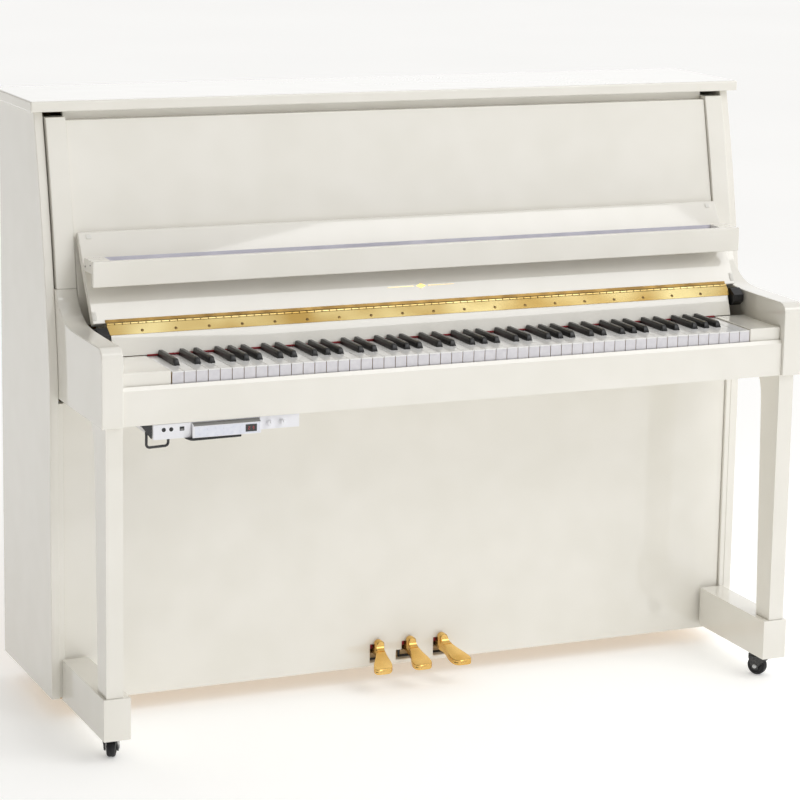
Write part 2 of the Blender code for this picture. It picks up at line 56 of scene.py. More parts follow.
def addNode(material, kind, inputs=None, **settings):
    # one node, its settings, and its sockets as values or links
    node = material.node_tree.nodes.new(kind)
    for name, value in settings.items():
        setattr(node, name, value)
    for socket, value in (inputs or {}).items():
        if isinstance(value, bpy.types.NodeSocket):
            material.node_tree.links.new(value, node.inputs[socket])
        else:
            node.inputs[socket].default_value = value
    return node


def newMaterial(name, finish):
    # a Principled material; finish holds the sockets that are even all over
    material = bpy.data.materials.new(name)
    material.use_nodes = True
    shader = material.node_tree.nodes["Principled BSDF"]
    for socket, value in finish.items():
        shader.inputs[socket].default_value = value
    return material


def wire(material, **sources):
    # links node outputs to the shader: colour, roughness, normal or glow
    shader = material.node_tree.nodes["Principled BSDF"]
    sockets = {"colour": "Base Color", "roughness": "Roughness", "normal": "Normal", "glow": "Emission Color"}
    for name, source in sources.items():
        material.node_tree.links.new(source, shader.inputs[sockets[name]])


def setStops(ramp, stops):
    # colour ramp stops as (place, hex)
    line = ramp.color_ramp
    while len(line.elements) < len(stops):
        line.elements.new(0.5)
    for element, (place, code) in zip(line.elements, stops):
        element.position = place
        element.color = hexColour(code)
    return ramp


axisOrder = {"x": lambda a, b, t: (t, a, b), "y": lambda a, b, t: (a, t, b), "z": lambda a, b, t: (a, b, t)}


def addPrism(bm, outline, low, high, axis="x", skin=0):
    # an outline in the other two axes, carried along one axis
    rings = [[bm.verts.new(axisOrder[axis](a, b, t)) for a, b in outline] for t in (low, high)]
    faces = [bm.faces.new(rings[0]), bm.faces.new(rings[1][::-1])]
    for i in range(len(outline)):
        j = (i + 1) % len(outline)
        faces.append(bm.faces.new((rings[0][i], rings[1][i], rings[1][j], rings[0][j])))
    for face in faces:
        face.material_index = skin
    return faces


def addBlock(bm, low, high, skin=0):
    outline = [(low[1], low[2]), (high[1], low[2]), (high[1], high[2]), (low[1], high[2])]
    return addPrism(bm, outline, low[0], high[0], "x", skin)


def addRings(bm, rings, skin=0):
    # skins a row of equal point rings and closes its two ends
    rows = [[bm.verts.new(point) for point in ring] for ring in rings]
    count = len(rows[0])
    faces = [bm.faces.new((one[k], one[(k + 1) % count], two[(k + 1) % count], two[k]))
             for one, two in zip(rows, rows[1:]) for k in range(count)]
    faces += [bm.faces.new(rows[0][::-1]), bm.faces.new(rows[-1])]
    for face in faces:
        face.material_index = skin
    return faces


def addTurned(bm, profile, centre, direction, sides=24, skin=0, start=0.0):
    # a lathe form: profile is (distance along the axis, radius)
    turn = Vector((0, 0, 1)).rotation_difference(Vector(direction)).to_matrix()
    rings = []
    for along, radius in profile:
        angles = [start + 2 * math.pi * k / sides for k in range(sides)]
        rings.append([Vector(centre) + turn @ Vector((radius * math.cos(a), radius * math.sin(a), along))
                      for a in angles])
    return addRings(bm, rings, skin)


def addRod(bm, route, radius, sides, skin=0):
    # a round rod along a route that never runs along y
    route = [Vector(point) for point in route]
    rings = []
    for i, point in enumerate(route):
        ahead = (route[min(i + 1, len(route) - 1)] - route[max(i - 1, 0)]).normalized()
        side = ahead.cross(Vector((0, 1, 0))).normalized()
        up = side.cross(ahead)
        angles = [2 * math.pi * k / sides for k in range(sides)]
        rings.append([point + radius * (side * math.cos(a) + up * math.sin(a)) for a in angles])
    return addRings(bm, rings, skin)


def smoothLine(points, steps=6):
    # a Catmull-Rom curve through the points
    line = []
    for i in range(len(points) - 1):
        p0, p1 = points[max(i - 1, 0)], points[i]
        p2, p3 = points[i + 1], points[min(i + 2, len(points) - 1)]
        for k in range(steps):
            t = k / steps
            line.append(tuple(0.5 * (2 * b + (c - a) * t + (2 * a - 5 * b + 4 * c - d) * t * t
                                     + (3 * b - a - 3 * c + d) * t ** 3)
                              for a, b, c, d in zip(p0, p1, p2, p3)))
    return line + [tuple(points[-1])]


def arcPoints(centre, radius, first, last, steps):
    angles = [math.radians(first + (last - first) * i / steps) for i in range(steps + 1)]
    return [(centre[0] + radius * math.cos(a), centre[1] + radius * math.sin(a)) for a in angles]


def makePiece(name, bm, materials, body, replaced=(), edge=0.0, segments=3, crease=35):
    # turns the mesh into an object, softens its edges, gives it its body, and hides the CAD nodes it replaces
    bmesh.ops.recalc_face_normals(bm, faces=bm.faces)
    mesh = bpy.data.meshes.new(name)
    bm.to_mesh(mesh)
    bm.free()
    for material in materials:
        mesh.materials.append(material)
    mesh.shade_smooth()
    if edge == 0:
        mesh.set_sharp_from_angle(angle=math.radians(crease))
    piece = bpy.data.objects.new(name, mesh)
    bpy.context.scene.collection.objects.link(piece)
    if edge:
        bevel = piece.modifiers.new("softened edges", "BEVEL")
        bevel.width = edge
        bevel.segments = segments
        bevel.limit_method = "ANGLE"
        bevel.angle_limit = math.radians(crease)
        bevel.harden_normals = True
    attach(piece, body)
    if replaced:
        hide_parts(*replaced)
    return piece


def grainedMaterial(name, finish, grain, tones, gloss=(), relief=(), stops=(0.3, 0.7)):
    # one grain gives the colour, the gloss and the relief; grain is its size in metres and its detail,
    # gloss the roughness from low to high, relief the bump's strength and its depth in metres
    material = newMaterial(name, finish)
    spot = addNode(material, "ShaderNodeTexCoord").outputs["Object"]
    size, detail = grain
    grit = addNode(material, "ShaderNodeTexNoise",
                   {"Vector": spot, "Scale": 1 / size, "Detail": detail}).outputs["Fac"]
    tone = setStops(addNode(material, "ShaderNodeValToRGB", {"Fac": grit}), list(zip(stops, tones)))
    wire(material, colour=tone.outputs["Color"])
    if gloss:
        haze = addNode(material, "ShaderNodeMapRange",
                       {"Value": grit, "To Min": gloss[0], "To Max": gloss[1]})
        wire(material, roughness=haze.outputs["Result"])
    if relief:
        bump = addNode(material, "ShaderNodeBump",
                       {"Height": grit, "Strength": relief[0], "Distance": relief[1]})
        wire(material, normal=bump.outputs["Normal"])
    return material


# ivory polyester lacquer, sprayed thick and buffed: a deep even gloss with a barely wavy skin
lacquerLook = {"ivory": "#F3F0E8", "shade": "#EFECE3", "peel": 0.004, "wave": 0.09}
ivoryLacquer = newMaterial("buffed ivory polyester lacquer", {
    "IOR": 1.52, "Coat Weight": 0.6, "Coat Roughness": 0.03, "Coat IOR": 1.5})
spot = addNode(ivoryLacquer, "ShaderNodeTexCoord").outputs["Object"]
wave = addNode(ivoryLacquer, "ShaderNodeTexNoise",
               {"Vector": spot, "Scale": 1 / lacquerLook["wave"], "Detail": 1.0})
peel = addNode(ivoryLacquer, "ShaderNodeTexNoise",
               {"Vector": spot, "Scale": 1 / lacquerLook["peel"], "Detail": 2.0})
tone = setStops(addNode(ivoryLacquer, "ShaderNodeValToRGB", {"Fac": wave.outputs["Fac"]}),
                [(0.3, lacquerLook["shade"]), (0.7, lacquerLook["ivory"])])
haze = addNode(ivoryLacquer, "ShaderNodeMapRange",
               {"Value": peel.outputs["Fac"], "To Min": 0.05, "To Max": 0.09})
flow = addNode(ivoryLacquer, "ShaderNodeBump",
               {"Height": wave.outputs["Fac"], "Strength": 0.25, "Distance": 0.0006})
skin = addNode(ivoryLacquer, "ShaderNodeBump",
               {"Height": peel.outputs["Fac"], "Strength": 0.06, "Distance": 0.00003,
                "Normal": flow.outputs["Normal"]})
wire(ivoryLacquer, colour=tone.outputs["Color"], roughness=haze.outputs["Result"],
     normal=skin.outputs["Normal"])

# cast acrylic key tops, buffed: cool white, with hair scratches along the key from playing
keyAcrylic = newMaterial("buffed white acrylic key top",
                         {"IOR": 1.49, "Coat Weight": 0.4, "Coat Roughness": 0.06})
spot = addNode(keyAcrylic, "ShaderNodeTexCoord").outputs["Object"]
stretch = addNode(keyAcrylic, "ShaderNodeMapping",
                  {"Vector": spot, "Scale": (1 / 0.0006, 1 / 0.02, 1 / 0.02)})
scratch = addNode(keyAcrylic, "ShaderNodeTexNoise",
                  {"Vector": stretch.outputs["Vector"], "Scale": 1.0, "Detail": 3.0})
cloud = addNode(keyAcrylic, "ShaderNodeTexNoise", {"Vector": spot, "Scale": 1 / 0.03, "Detail": 1.0})
tone = setStops(addNode(keyAcrylic, "ShaderNodeValToRGB", {"Fac": cloud.outputs["Fac"]}),
                [(0.3, "#F3F2F1"), (0.7, "#F8F8F8")])
gloss = addNode(keyAcrylic, "ShaderNodeMapRange",
                {"Value": scratch.outputs["Fac"], "To Min": 0.14, "To Max": 0.26})
grooves = addNode(keyAcrylic, "ShaderNodeBump",
                  {"Height": scratch.outputs["Fac"], "Strength": 0.1, "Distance": 0.00003})
wire(keyAcrylic, colour=tone.outputs["Color"], roughness=gloss.outputs["Result"],
     normal=grooves.outputs["Normal"])

# the moulded fronts of the white keys: a duller plastic than the tops, painted greyer as the shade on these
# upright faces
shadedKeyFrontPlastic = grainedMaterial("moulded key front plastic with painted shade",
                                  {"IOR": 1.47, "Coat Weight": 0.1, "Coat Roughness": 0.2}, (0.012, 2.0),
                                  ("#D9D7DC", "#E3E1E5"), (0.32, 0.42))

# black phenolic sharps, tumbled to a satin: soft highlights and a fine grain along the key
blackPhenolic = newMaterial("satin black phenolic",
                            {"IOR": 1.45, "Coat Weight": 0.12, "Coat Roughness": 0.25})
spot = addNode(blackPhenolic, "ShaderNodeTexCoord").outputs["Object"]
stretch = addNode(blackPhenolic, "ShaderNodeMapping",
                  {"Vector": spot, "Scale": (1 / 0.0007, 1 / 0.03, 1 / 0.0015)})
grain = addNode(blackPhenolic, "ShaderNodeTexNoise",
                {"Vector": stretch.outputs["Vector"], "Scale": 1.0, "Detail": 3.0})
tone = setStops(addNode(blackPhenolic, "ShaderNodeValToRGB", {"Fac": grain.outputs["Fac"]}),
                [(0.3, "#0E0E0F"), (0.75, "#171718")])
gloss = addNode(blackPhenolic, "ShaderNodeMapRange",
                {"Value": grain.outputs["Fac"], "To Min": 0.24, "To Max": 0.42})
grooves = addNode(blackPhenolic, "ShaderNodeBump",
                  {"Height": grain.outputs["Fac"], "Strength": 0.2, "Distance": 0.00005})
wire(blackPhenolic, colour=tone.outputs["Color"], roughness=gloss.outputs["Result"],
     normal=grooves.outputs["Normal"])


def brassMaterial(name, bright, deep, smooth, hazy, streak, patch=0.03):
    # brass with a fine polishing grain; streak is the grain's length and width in metres
    brass = newMaterial(name, {"Metallic": 1.0})
    spot = addNode(brass, "ShaderNodeTexCoord").outputs["Object"]
    stretch = addNode(brass, "ShaderNodeMapping",
                      {"Vector": spot, "Scale": tuple(1 / size for size in streak)})
    grain = addNode(brass, "ShaderNodeTexNoise",
                    {"Vector": stretch.outputs["Vector"], "Scale": 1.0, "Detail": 3.0})
    # the cloud mixes the deep and the bright tone in patches of the patch size; on the hinge brass these
    # patches are painted reflections
    cloud = addNode(brass, "ShaderNodeTexNoise", {"Vector": spot, "Scale": 1 / patch, "Detail": 1.0})
    tone = setStops(addNode(brass, "ShaderNodeValToRGB", {"Fac": cloud.outputs["Fac"]}),
                    [(0.3, deep), (0.7, bright)])
    gloss = addNode(brass, "ShaderNodeMapRange",
                    {"Value": grain.outputs["Fac"], "To Min": smooth, "To Max": hazy})
    lines = addNode(brass, "ShaderNodeBump",
                    {"Height": grain.outputs["Fac"], "Strength": 0.15, "Distance": 0.00004})
    wire(brass, colour=tone.outputs["Color"], roughness=gloss.outputs["Result"],
         normal=lines.outputs["Normal"])
    return brass


# rolled brass, buffed along its length: bright with short streaks; its broad bright and deep patches are
# painted reflections
hingeBrassPaintedReflections = brassMaterial("buffed rolled brass with painted reflections", "#EFDC9E", "#BC9A56", 0.14, 0.28, (0.012, 0.0008, 0.0008),
                           0.11)
# the same brass, duller, painted a deeper gold as shade: for the moving leaf, the screw heads, the tray shelf
# and the lid hinge leaf
shadedLeafBrass = brassMaterial("dull rolled brass leaf with painted shade", "#8F7443", "#6B5430", 0.26, 0.40, (0.020, 0.0008, 0.0008))
# cast brass pedals, lacquered: soft golden glow with a fine lengthwise polish
pedalBrass = brassMaterial("lacquered cast brass", "#EBC479", "#DCB062", 0.18, 0.32, (0.0012, 0.02, 0.0012))
# steel wire and turned pins: grey, lightly brushed
turnedSteel = brassMaterial("turned bright steel", "#C9CACC", "#A9ABAF", 0.22, 0.36, (0.0008, 0.0008, 0.008))
# copper windings on the bass strings: warm and slightly dulled
copperWire = brassMaterial("drawn copper winding", "#C6764A", "#9C5636", 0.28, 0.42, (0.0006, 0.0006, 0.0006))

# black ABS, spark-eroded mould: a 0.1 mm grit that breaks up the highlight, drawn at 0.7 mm so that it shows
blackAbs = grainedMaterial("moulded black ABS", {"IOR": 1.53}, (0.0007, 2.0), ("#131314", "#1E1E20"),
                           (0.30, 0.48), (0.3, 0.00008))

# steel in stoved black enamel: smoother and glossier than the plastic, a little lumpy
blackEnamel = grainedMaterial("stoved black enamel on steel",
                              {"IOR": 1.5, "Coat Weight": 0.5, "Coat Roughness": 0.12}, (0.003, 2.0),
                              ("#101011", "#1B1B1D"), (0.20, 0.34), (0.2, 0.0001))

# dusty black rubber for the caster tyres, and a pale one for the buffers
tyreRubber = grainedMaterial("moulded black rubber", {"IOR": 1.52, "Specular IOR Level": 0.35}, (0.005, 4.0),
                             ("#17171A", "#2C2C30"), (0.42, 0.68), (), (0.35, 0.75))
bufferRubber = grainedMaterial("moulded pale rubber", {"IOR": 1.5, "Specular IOR Level": 0.3}, (0.002, 3.0),
                               ("#E6E4DE", "#F0EEE8"), (0.5, 0.7))

# white ABS of the control unit: faintly violet, with a satin grit of 0.15 mm drawn at 0.8 mm so that it shows
unitAbs = grainedMaterial("moulded white ABS", {"IOR": 1.53}, (0.0008, 2.0), ("#ECECF1", "#F5F5F9"),
                          (0.28, 0.42), (0.15, 0.00005))

# grey-violet leatherette that lines the tray: pebbles of 0.8 mm, drawn at 1.6 mm so that they show
trayLeatherette = newMaterial("pebbled grey leatherette", {"IOR": 1.45, "Specular IOR Level": 0.35})
spot = addNode(trayLeatherette, "ShaderNodeTexCoord").outputs["Object"]
pebble = addNode(trayLeatherette, "ShaderNodeTexVoronoi", {"Vector": spot, "Scale": 1 / 0.0016})
cloud = addNode(trayLeatherette, "ShaderNodeTexNoise", {"Vector": spot, "Scale": 1 / 0.05, "Detail": 2.0})
tone = setStops(addNode(trayLeatherette, "ShaderNodeValToRGB", {"Fac": cloud.outputs["Fac"]}),
                [(0.3, "#CDCCD6"), (0.7, "#DBDAE3")])
gloss = addNode(trayLeatherette, "ShaderNodeMapRange",
                {"Value": pebble.outputs["Distance"], "To Min": 0.45, "To Max": 0.65})
cells = addNode(trayLeatherette, "ShaderNodeBump",
                {"Height": pebble.outputs["Distance"], "Strength": 0.3, "Distance": 0.00015})
wire(trayLeatherette, colour=tone.outputs["Color"], roughness=gloss.outputs["Result"],
     normal=cells.outputs["Normal"])


def feltMaterial(name, light, dark, fibre):
    # pressed wool: matt, fuzzy, with a mottled colour; fibre is the clump size in metres
    felt = newMaterial(name, {"Specular IOR Level": 0.2, "Sheen Weight": 0.5, "Sheen Roughness": 0.5})
    spot = addNode(felt, "ShaderNodeTexCoord").outputs["Object"]
    clumps = addNode(felt, "ShaderNodeTexNoise",
                     {"Vector": spot, "Scale": 1 / fibre, "Detail": 5.0, "Roughness": 0.7})
    tone = setStops(addNode(felt, "ShaderNodeValToRGB", {"Fac": clumps.outputs["Fac"]}),
                    [(0.3, dark), (0.7, light)])
    matt = addNode(felt, "ShaderNodeMapRange",
                   {"Value": clumps.outputs["Fac"], "To Min": 0.8, "To Max": 0.98})
    fuzz = addNode(felt, "ShaderNodeBump",
                   {"Height": clumps.outputs["Fac"], "Strength": 0.5, "Distance": 0.0003})
    wire(felt, colour=tone.outputs["Color"], roughness=matt.outputs["Result"], normal=fuzz.outputs["Normal"])
    return felt


redFelt = feltMaterial("pressed red wool felt", "#9A2027", "#74161C", 0.0015)
whiteFelt = feltMaterial("pressed white hammer felt", "#E6E1D3", "#D2CBB8", 0.002)
greenFelt = feltMaterial("pressed green damper felt", "#4D6B4E", "#39533C", 0.002)


def timberMaterial(name, light, dark, pitch, along, varnish):
    # planed softwood; pitch is the ring spacing in metres and along is the grain's axis
    timber = newMaterial(name, {"IOR": 1.5, "Coat Weight": varnish, "Coat Roughness": 0.25})
    spot = addNode(timber, "ShaderNodeTexCoord").outputs["Object"]
    squeeze = tuple(0.04 if axis == along else 1.0 for axis in "xyz")
    stretch = addNode(timber, "ShaderNodeMapping", {"Vector": spot, "Scale": squeeze})
    drift = addNode(timber, "ShaderNodeTexNoise",
                    {"Vector": stretch.outputs["Vector"], "Scale": 6.0, "Detail": 2.0})
    bend = addNode(timber, "ShaderNodeVectorMath", {0: drift.outputs["Color"], 1: (0.06, 0.06, 0.06)},
                   operation="MULTIPLY")
    bent = addNode(timber, "ShaderNodeVectorMath", {0: stretch.outputs["Vector"], 1: bend.outputs["Vector"]},
                   operation="ADD")
    rings = addNode(timber, "ShaderNodeTexNoise",
                    {"Vector": bent.outputs["Vector"], "Scale": 1 / pitch, "Detail": 3.0})
    tone = setStops(addNode(timber, "ShaderNodeValToRGB", {"Fac": rings.outputs["Fac"]}),
                    [(0.32, dark), (0.5, light), (0.72, dark)])
    gloss = addNode(timber, "ShaderNodeMapRange",
                    {"Value": rings.outputs["Fac"], "To Min": 0.4, "To Max": 0.6})
    pores = addNode(timber, "ShaderNodeBump",
                    {"Height": rings.outputs["Fac"], "Strength": 0.2, "Distance": 0.0003})
    wire(timber, colour=tone.outputs["Color"], roughness=gloss.outputs["Result"],
         normal=pores.outputs["Normal"])
    return timber


# spruce soundboard, varnished: tight rings that run corner to corner on the real one, drawn level
soundSpruce = timberMaterial("varnished spruce soundboard", "#DDB577", "#C4965A", 0.006, "x", 0.5)
postPine = timberMaterial("planed pine post", "#D9B988", "#BF9A66", 0.010, "z", 0.15)
railMaple = timberMaterial("planed maple rail", "#DCC39A", "#C8A878", 0.007, "x", 0.1)

# sand-cast iron under bronze paint: pebbly, with metal flakes in the paint
bronzeIron = grainedMaterial("bronze paint on cast iron", {"Metallic": 0.75}, (0.004, 4.0),
                             ("#A07F42", "#C29B55"), (0.34, 0.55), (0.4, 0.0005))

# smoked acrylic over the number display, and the lit segments behind it
smokedAcrylic = grainedMaterial("smoked acrylic window",
                                {"IOR": 1.49, "Coat Weight": 1.0, "Coat Roughness": 0.03}, (0.006, 1.0),
                                ("#0B0A0C", "#141216"))
litSegment = newMaterial("red display segment", {"Emission Strength": 0.3, "Roughness": 0.4})
spot = addNode(litSegment, "ShaderNodeTexCoord").outputs["Object"]
cloud = addNode(litSegment, "ShaderNodeTexNoise", {"Vector": spot, "Scale": 1 / 0.002, "Detail": 1.0})
tone = setStops(addNode(litSegment, "ShaderNodeValToRGB", {"Fac": cloud.outputs["Fac"]}),
                [(0.3, "#C81E2A"), (0.7, "#E23340")])
wire(litSegment, colour=tone.outputs["Color"], glow=tone.outputs["Color"])
print("materials made")


# ---- case ----
def sideFront(z):
    # the side panel's front edge: plumb, then a shallow hollow that leans back to the lid
    plumb, low, high = 0.640, 0.780, 1.1905
    if z <= plumb:
        return -0.038
    if z < low:
        return -0.038 + 0.013 * ((z - plumb) / (low - plumb)) ** 2
    share = (z - low) / (high - low)
    return -0.025 + 0.083 * share - 0.026 * share * (1 - share)


case = {"edge": 0.0016, "topEdge": 0.0032, "stileFront": -0.0365, "stileBack": -0.005, "stileTop": 0.640,
        "armEdge": 0.0018}
for label, sign in (("left", -1), ("right", 1)):
    low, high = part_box("side_panel_" + label)
    outer, inner = (low.x, low.x + 0.0175) if sign < 0 else (high.x, high.x - 0.0175)
    heights = [low.z, case["stileTop"]] + [case["stileTop"] + 0.014 * i for i in range(1, 11)]
    heights += [0.780 + (high.z - 0.780) * i / 24 for i in range(1, 25)]
    bm = bmesh.new()
    outline = [(sideFront(z), z) for z in heights] + [(high.y, high.z), (high.y, low.z)]
    addPrism(bm, outline, min(inner, outer), max(inner, outer))
    stileInner = inner - sign * 0.0100
    addBlock(bm, (min(stileInner, inner + sign * 0.004), case["stileFront"], low.z + 0.002),
             (max(stileInner, inner + sign * 0.004), case["stileBack"], case["stileTop"]))
    makePiece("side_panel_" + label + "_finish", bm, [ivoryLacquer], "case",
              ["side_panel_" + label], case["edge"])

    low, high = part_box("arm_" + label)
    scoop = [(-0.0225, high.z), (-0.0330, 0.8390), (-0.0525, 0.8215), (-0.0720, 0.8100), (-0.0950, 0.8025),
             (-0.1320, 0.7990), (-0.1900, 0.798)]
    nose = arcPoints((low.y + 0.022, 0.776), 0.022, 90, 175, 14)
    bm = bmesh.new()
    outline = [(high.y, low.z), (high.y, high.z)] + smoothLine(scoop, 5) + nose + [(low.y, low.z)]
    addPrism(bm, outline, low.x, high.x)
    makePiece("arm_" + label + "_finish", bm, [ivoryLacquer], "case", ["arm_" + label],
              case["armEdge"], 3, 50)

    low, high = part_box("pilaster_" + label)
    heights = [low.z + (high.z - low.z) * i / 22 for i in range(23)]
    front = [(sideFront(z) - 0.010, z) for z in heights]
    bm = bmesh.new()
    addPrism(bm, front + [(y + 0.030, z) for y, z in reversed(front)], low.x, high.x)
    makePiece("pilaster_" + label + "_finish", bm, [ivoryLacquer], "case", ["pilaster_" + label],
              case["edge"], 3, 50)

    # the leg swells forward under the keybed and tapers back to the toe
    low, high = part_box("leg_" + label)
    swell = [(-0.202, high.z), (-0.213, 0.6400), (-0.2225, 0.6260), (-0.2290, 0.6060), (-0.2315, 0.5800),
             (-0.2352, 0.4930), (-0.248, low.z)]
    bm = bmesh.new()
    addPrism(bm, [(low.y, low.z), (low.y, high.z)] + smoothLine(swell[:6], 6) + [swell[6]], low.x, high.x)
    makePiece("leg_" + label + "_finish", bm, [ivoryLacquer], "case", ["leg_" + label],
              case["armEdge"], 3, 50)

    low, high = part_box("toe_block_" + label)
    bm = bmesh.new()
    addBlock(bm, low, high)
    addTurned(bm, [(0, 0.013), (0.0012, 0.013), (0.0016, 0.0122)],
              ((low.x + high.x) / 2, -0.262, low.z - 0.0002), (0, 0, -1), 24, 1)
    makePiece("toe_block_" + label + "_finish", bm, [ivoryLacquer, blackEnamel], "case",
              ["toe_block_" + label], case["armEdge"])

# the upper panel leans back between the pilasters
low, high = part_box("upper_panel")
bm = bmesh.new()
addPrism(bm, [(-0.0387, low.z), (0.0490, high.z), (0.0670, high.z), (-0.0207, low.z)], low.x, high.x)
makePiece("upper_panel_finish", bm, [ivoryLacquer], "case", ["upper_panel"], case["edge"])
# a lacquered rail closes the gap between the panel and the lid
bm = bmesh.new()
addPrism(bm, [(0.0674, 1.150), (0.0674, 1.1895), (0.0790, 1.1905), (0.0790, 1.150)], low.x, high.x)
makePiece("upper_recess_rail", bm, [ivoryLacquer], "case")

# the key slip: a front rail whose sloped lip rises to the keys, with a ledge under them
low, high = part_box("key_slip")
bm = bmesh.new()
addPrism(bm, [(low.y, low.z), (low.y, 0.7150), (-0.2968, high.z), (-0.2963, high.z), (-0.2963, 0.705),
              (-0.2455, 0.705), (-0.2455, 0.700), (-0.2795, 0.700), (-0.2795, low.z)], low.x, high.x)
makePiece("key_slip_finish", bm, [ivoryLacquer], "case", ["key_slip"], 0.0011, 3, 20)
for label in ("left", "right"):
    low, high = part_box("key_block_" + label)
    bm = bmesh.new()
    addPrism(bm, [(low.y, 0.7053), (low.y, high.z), (high.y, high.z), (high.y, low.z), (-0.2450, low.z),
                  (-0.2450, 0.7053)], low.x, high.x)
    makePiece("key_block_" + label + "_finish", bm, [ivoryLacquer], "case", ["key_block_" + label],
              case["armEdge"], 4)

# the lid, one thick board with a softly rounded edge
low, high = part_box("top_lid")
bm = bmesh.new()
addBlock(bm, low, high)
makePiece("top_lid_finish", bm, [ivoryLacquer], "lid", ["top_lid"], case["topEdge"], 5)
print("case panels made")


# CAD shapes that show as they are, in their own finishes
def paintNode(node, material):
    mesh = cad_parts[node].data
    mesh.materials.clear()
    mesh.materials.append(material)


for node, material in {"lower_panel": ivoryLacquer, "keybed": ivoryLacquer, "bottom_board": railMaple,
                       "back_frame": postPine, "soundboard": soundSpruce, "pin_block": railMaple,
                       "action_frame": railMaple, "key_frame": railMaple, "pedal_bracket": railMaple,
                       "iron_plate": bronzeIron}.items():
    paintNode(node, material)


# ---- keyboard ----
keys = {"wood": 0.7215, "sharpFoot": 0.7290, "sharpWaist": 0.7455, "count": 52, "pitch": 0.02365,
        "gap": 0.0010, "left": -0.6015, "front": -0.294, "top": 0.745, "plate": 0.0024, "lip": 0.0006,
        "headLength": 0.050, "tailEnd": -0.100, "edge": 0.0006, "sharpBase": 0.0059, "sharpTop": 0.0043,
        "sharpHigh": 0.757, "sharpBack": -0.1507,
        "sharpShift": {0: -0.0022, 1: 0.0022, 3: -0.0030, 4: 0.0, 5: 0.0030}}
banks = {"bass": (0, 9), "tenor": (9, 23), "alto": (23, 37), "treble": (37, 52)}


def noteOf(index):
    # 0 to 6 for C to B; the lowest white key is an A
    return (index + 5) % 7


def hasSharp(index):
    return noteOf(index) in keys["sharpShift"] and index < keys["count"] - 1


def sharpMiddle(index):
    return keys["left"] + (index + 1) * keys["pitch"] + keys["sharpShift"][noteOf(index)]


def keyPlan(index, inset, front):
    # plan of a white key: a full head, and a tail between its black neighbours
    left = keys["left"] + index * keys["pitch"] + keys["gap"] / 2 + inset
    right = left + keys["pitch"] - keys["gap"] - 2 * inset
    neck = 0.00645 + inset
    tailLeft = sharpMiddle(index - 1) + neck if index and hasSharp(index - 1) else left
    tailRight = sharpMiddle(index) - neck if hasSharp(index) else right
    head = keys["front"] + keys["headLength"] - inset
    plan = [(left, front), (right, front)]
    plan += [(right, head), (tailRight, head)] if tailRight != right else []
    plan += [(tailRight, keys["tailEnd"]), (tailLeft, keys["tailEnd"])]
    return plan + ([(tailLeft, head), (left, head)] if tailLeft != left else [])


def sharpRing(y, high):
    # a cross-section of a black key: flared sides and a rounded top
    base, waist = keys["sharpBase"], keys["sharpWaist"]
    lean = (high - waist) / (keys["sharpHigh"] - waist)
    top = base + (keys["sharpTop"] - base) * lean
    corner = min(0.0013, (high - waist) * 0.5)
    half = [(base, keys["sharpFoot"]), (base, waist), (top + 0.0002, high - corner),
            (top - corner * 0.3, high - corner * 0.3), (top - corner, high)]
    return [(x, y, z) for x, z in half] + [(-x, y, z) for x, z in reversed(half)]


for label, (first, last) in banks.items():
    bm = bmesh.new()
    plateLow = keys["top"] - keys["plate"]
    for index in range(first, last):
        addPrism(bm, keyPlan(index, 0.0, keys["front"]), plateLow, keys["top"], "z", 0)
        addPrism(bm, keyPlan(index, 0.0002, keys["front"] + 0.0026), keys["wood"], plateLow - 0.00005, "z", 2)
        x = keys["left"] + index * keys["pitch"] + keys["gap"] / 2
        addBlock(bm, (x + 0.0001, keys["front"] + keys["lip"], keys["wood"]),
                 (x + keys["pitch"] - keys["gap"] - 0.0001, keys["front"] + 0.0025, plateLow - 0.00005), 1)
    low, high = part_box("white_keys_" + label)
    addBlock(bm, (low.x + 0.0006, -0.1148, 0.7002), (high.x - 0.0006, 0.0798, 0.7118), 2)
    makePiece("white_keys_" + label + "_finish", bm, [keyAcrylic, shadedKeyFrontPlastic, railMaple],
              "white_" + label, ["white_keys_" + label], keys["edge"], 2, 50)

    bm = bmesh.new()
    slope = [(0.0, 0.7463), (0.0006, 0.7487), (0.0020, 0.7522), (0.0038, 0.7549), (0.0056, 0.7564),
             (0.0078, 0.7569)]
    for index in filter(hasSharp, range(first, last)):
        middle = sharpMiddle(index)
        start = keys["front"] + keys["headLength"] + 0.0008
        rings = [sharpRing(start + back, high) for back, high in slope]
        rings += [sharpRing(y, keys["sharpHigh"]) for y in (-0.230, -0.190, keys["sharpBack"])]
        rings = [[(middle + x, y, z) for x, y, z in ring] for ring in rings]
        addRings(bm, rings, 0)
        addBlock(bm, (middle - 0.0048, keys["sharpBack"], keys["sharpFoot"]),
                 (middle + 0.0048, -0.0785, 0.7438), 1)
    low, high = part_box("black_keys_" + label)
    addBlock(bm, (low.x + 0.0006, -0.0878, 0.7272), (high.x - 0.0006, 0.0798, 0.7428), 1)
    makePiece("black_keys_" + label + "_finish", bm, [blackPhenolic, railMaple], "black_" + label,
              ["black_keys_" + label], crease=40)

# the strip of red felt behind the keys, under the fallboard's base
low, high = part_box("fallboard_base")
bm = bmesh.new()
addPrism(bm, smoothLine([(-0.1482, 0.7455), (-0.1500, 0.7462), (-0.1503, 0.7478), (-0.1494, 0.7492),
                         (-0.1482, 0.7494)], 3), -0.6010, 0.6290)
makePiece("name_felt", bm, [redFelt], "case", crease=60)
print("keys made")


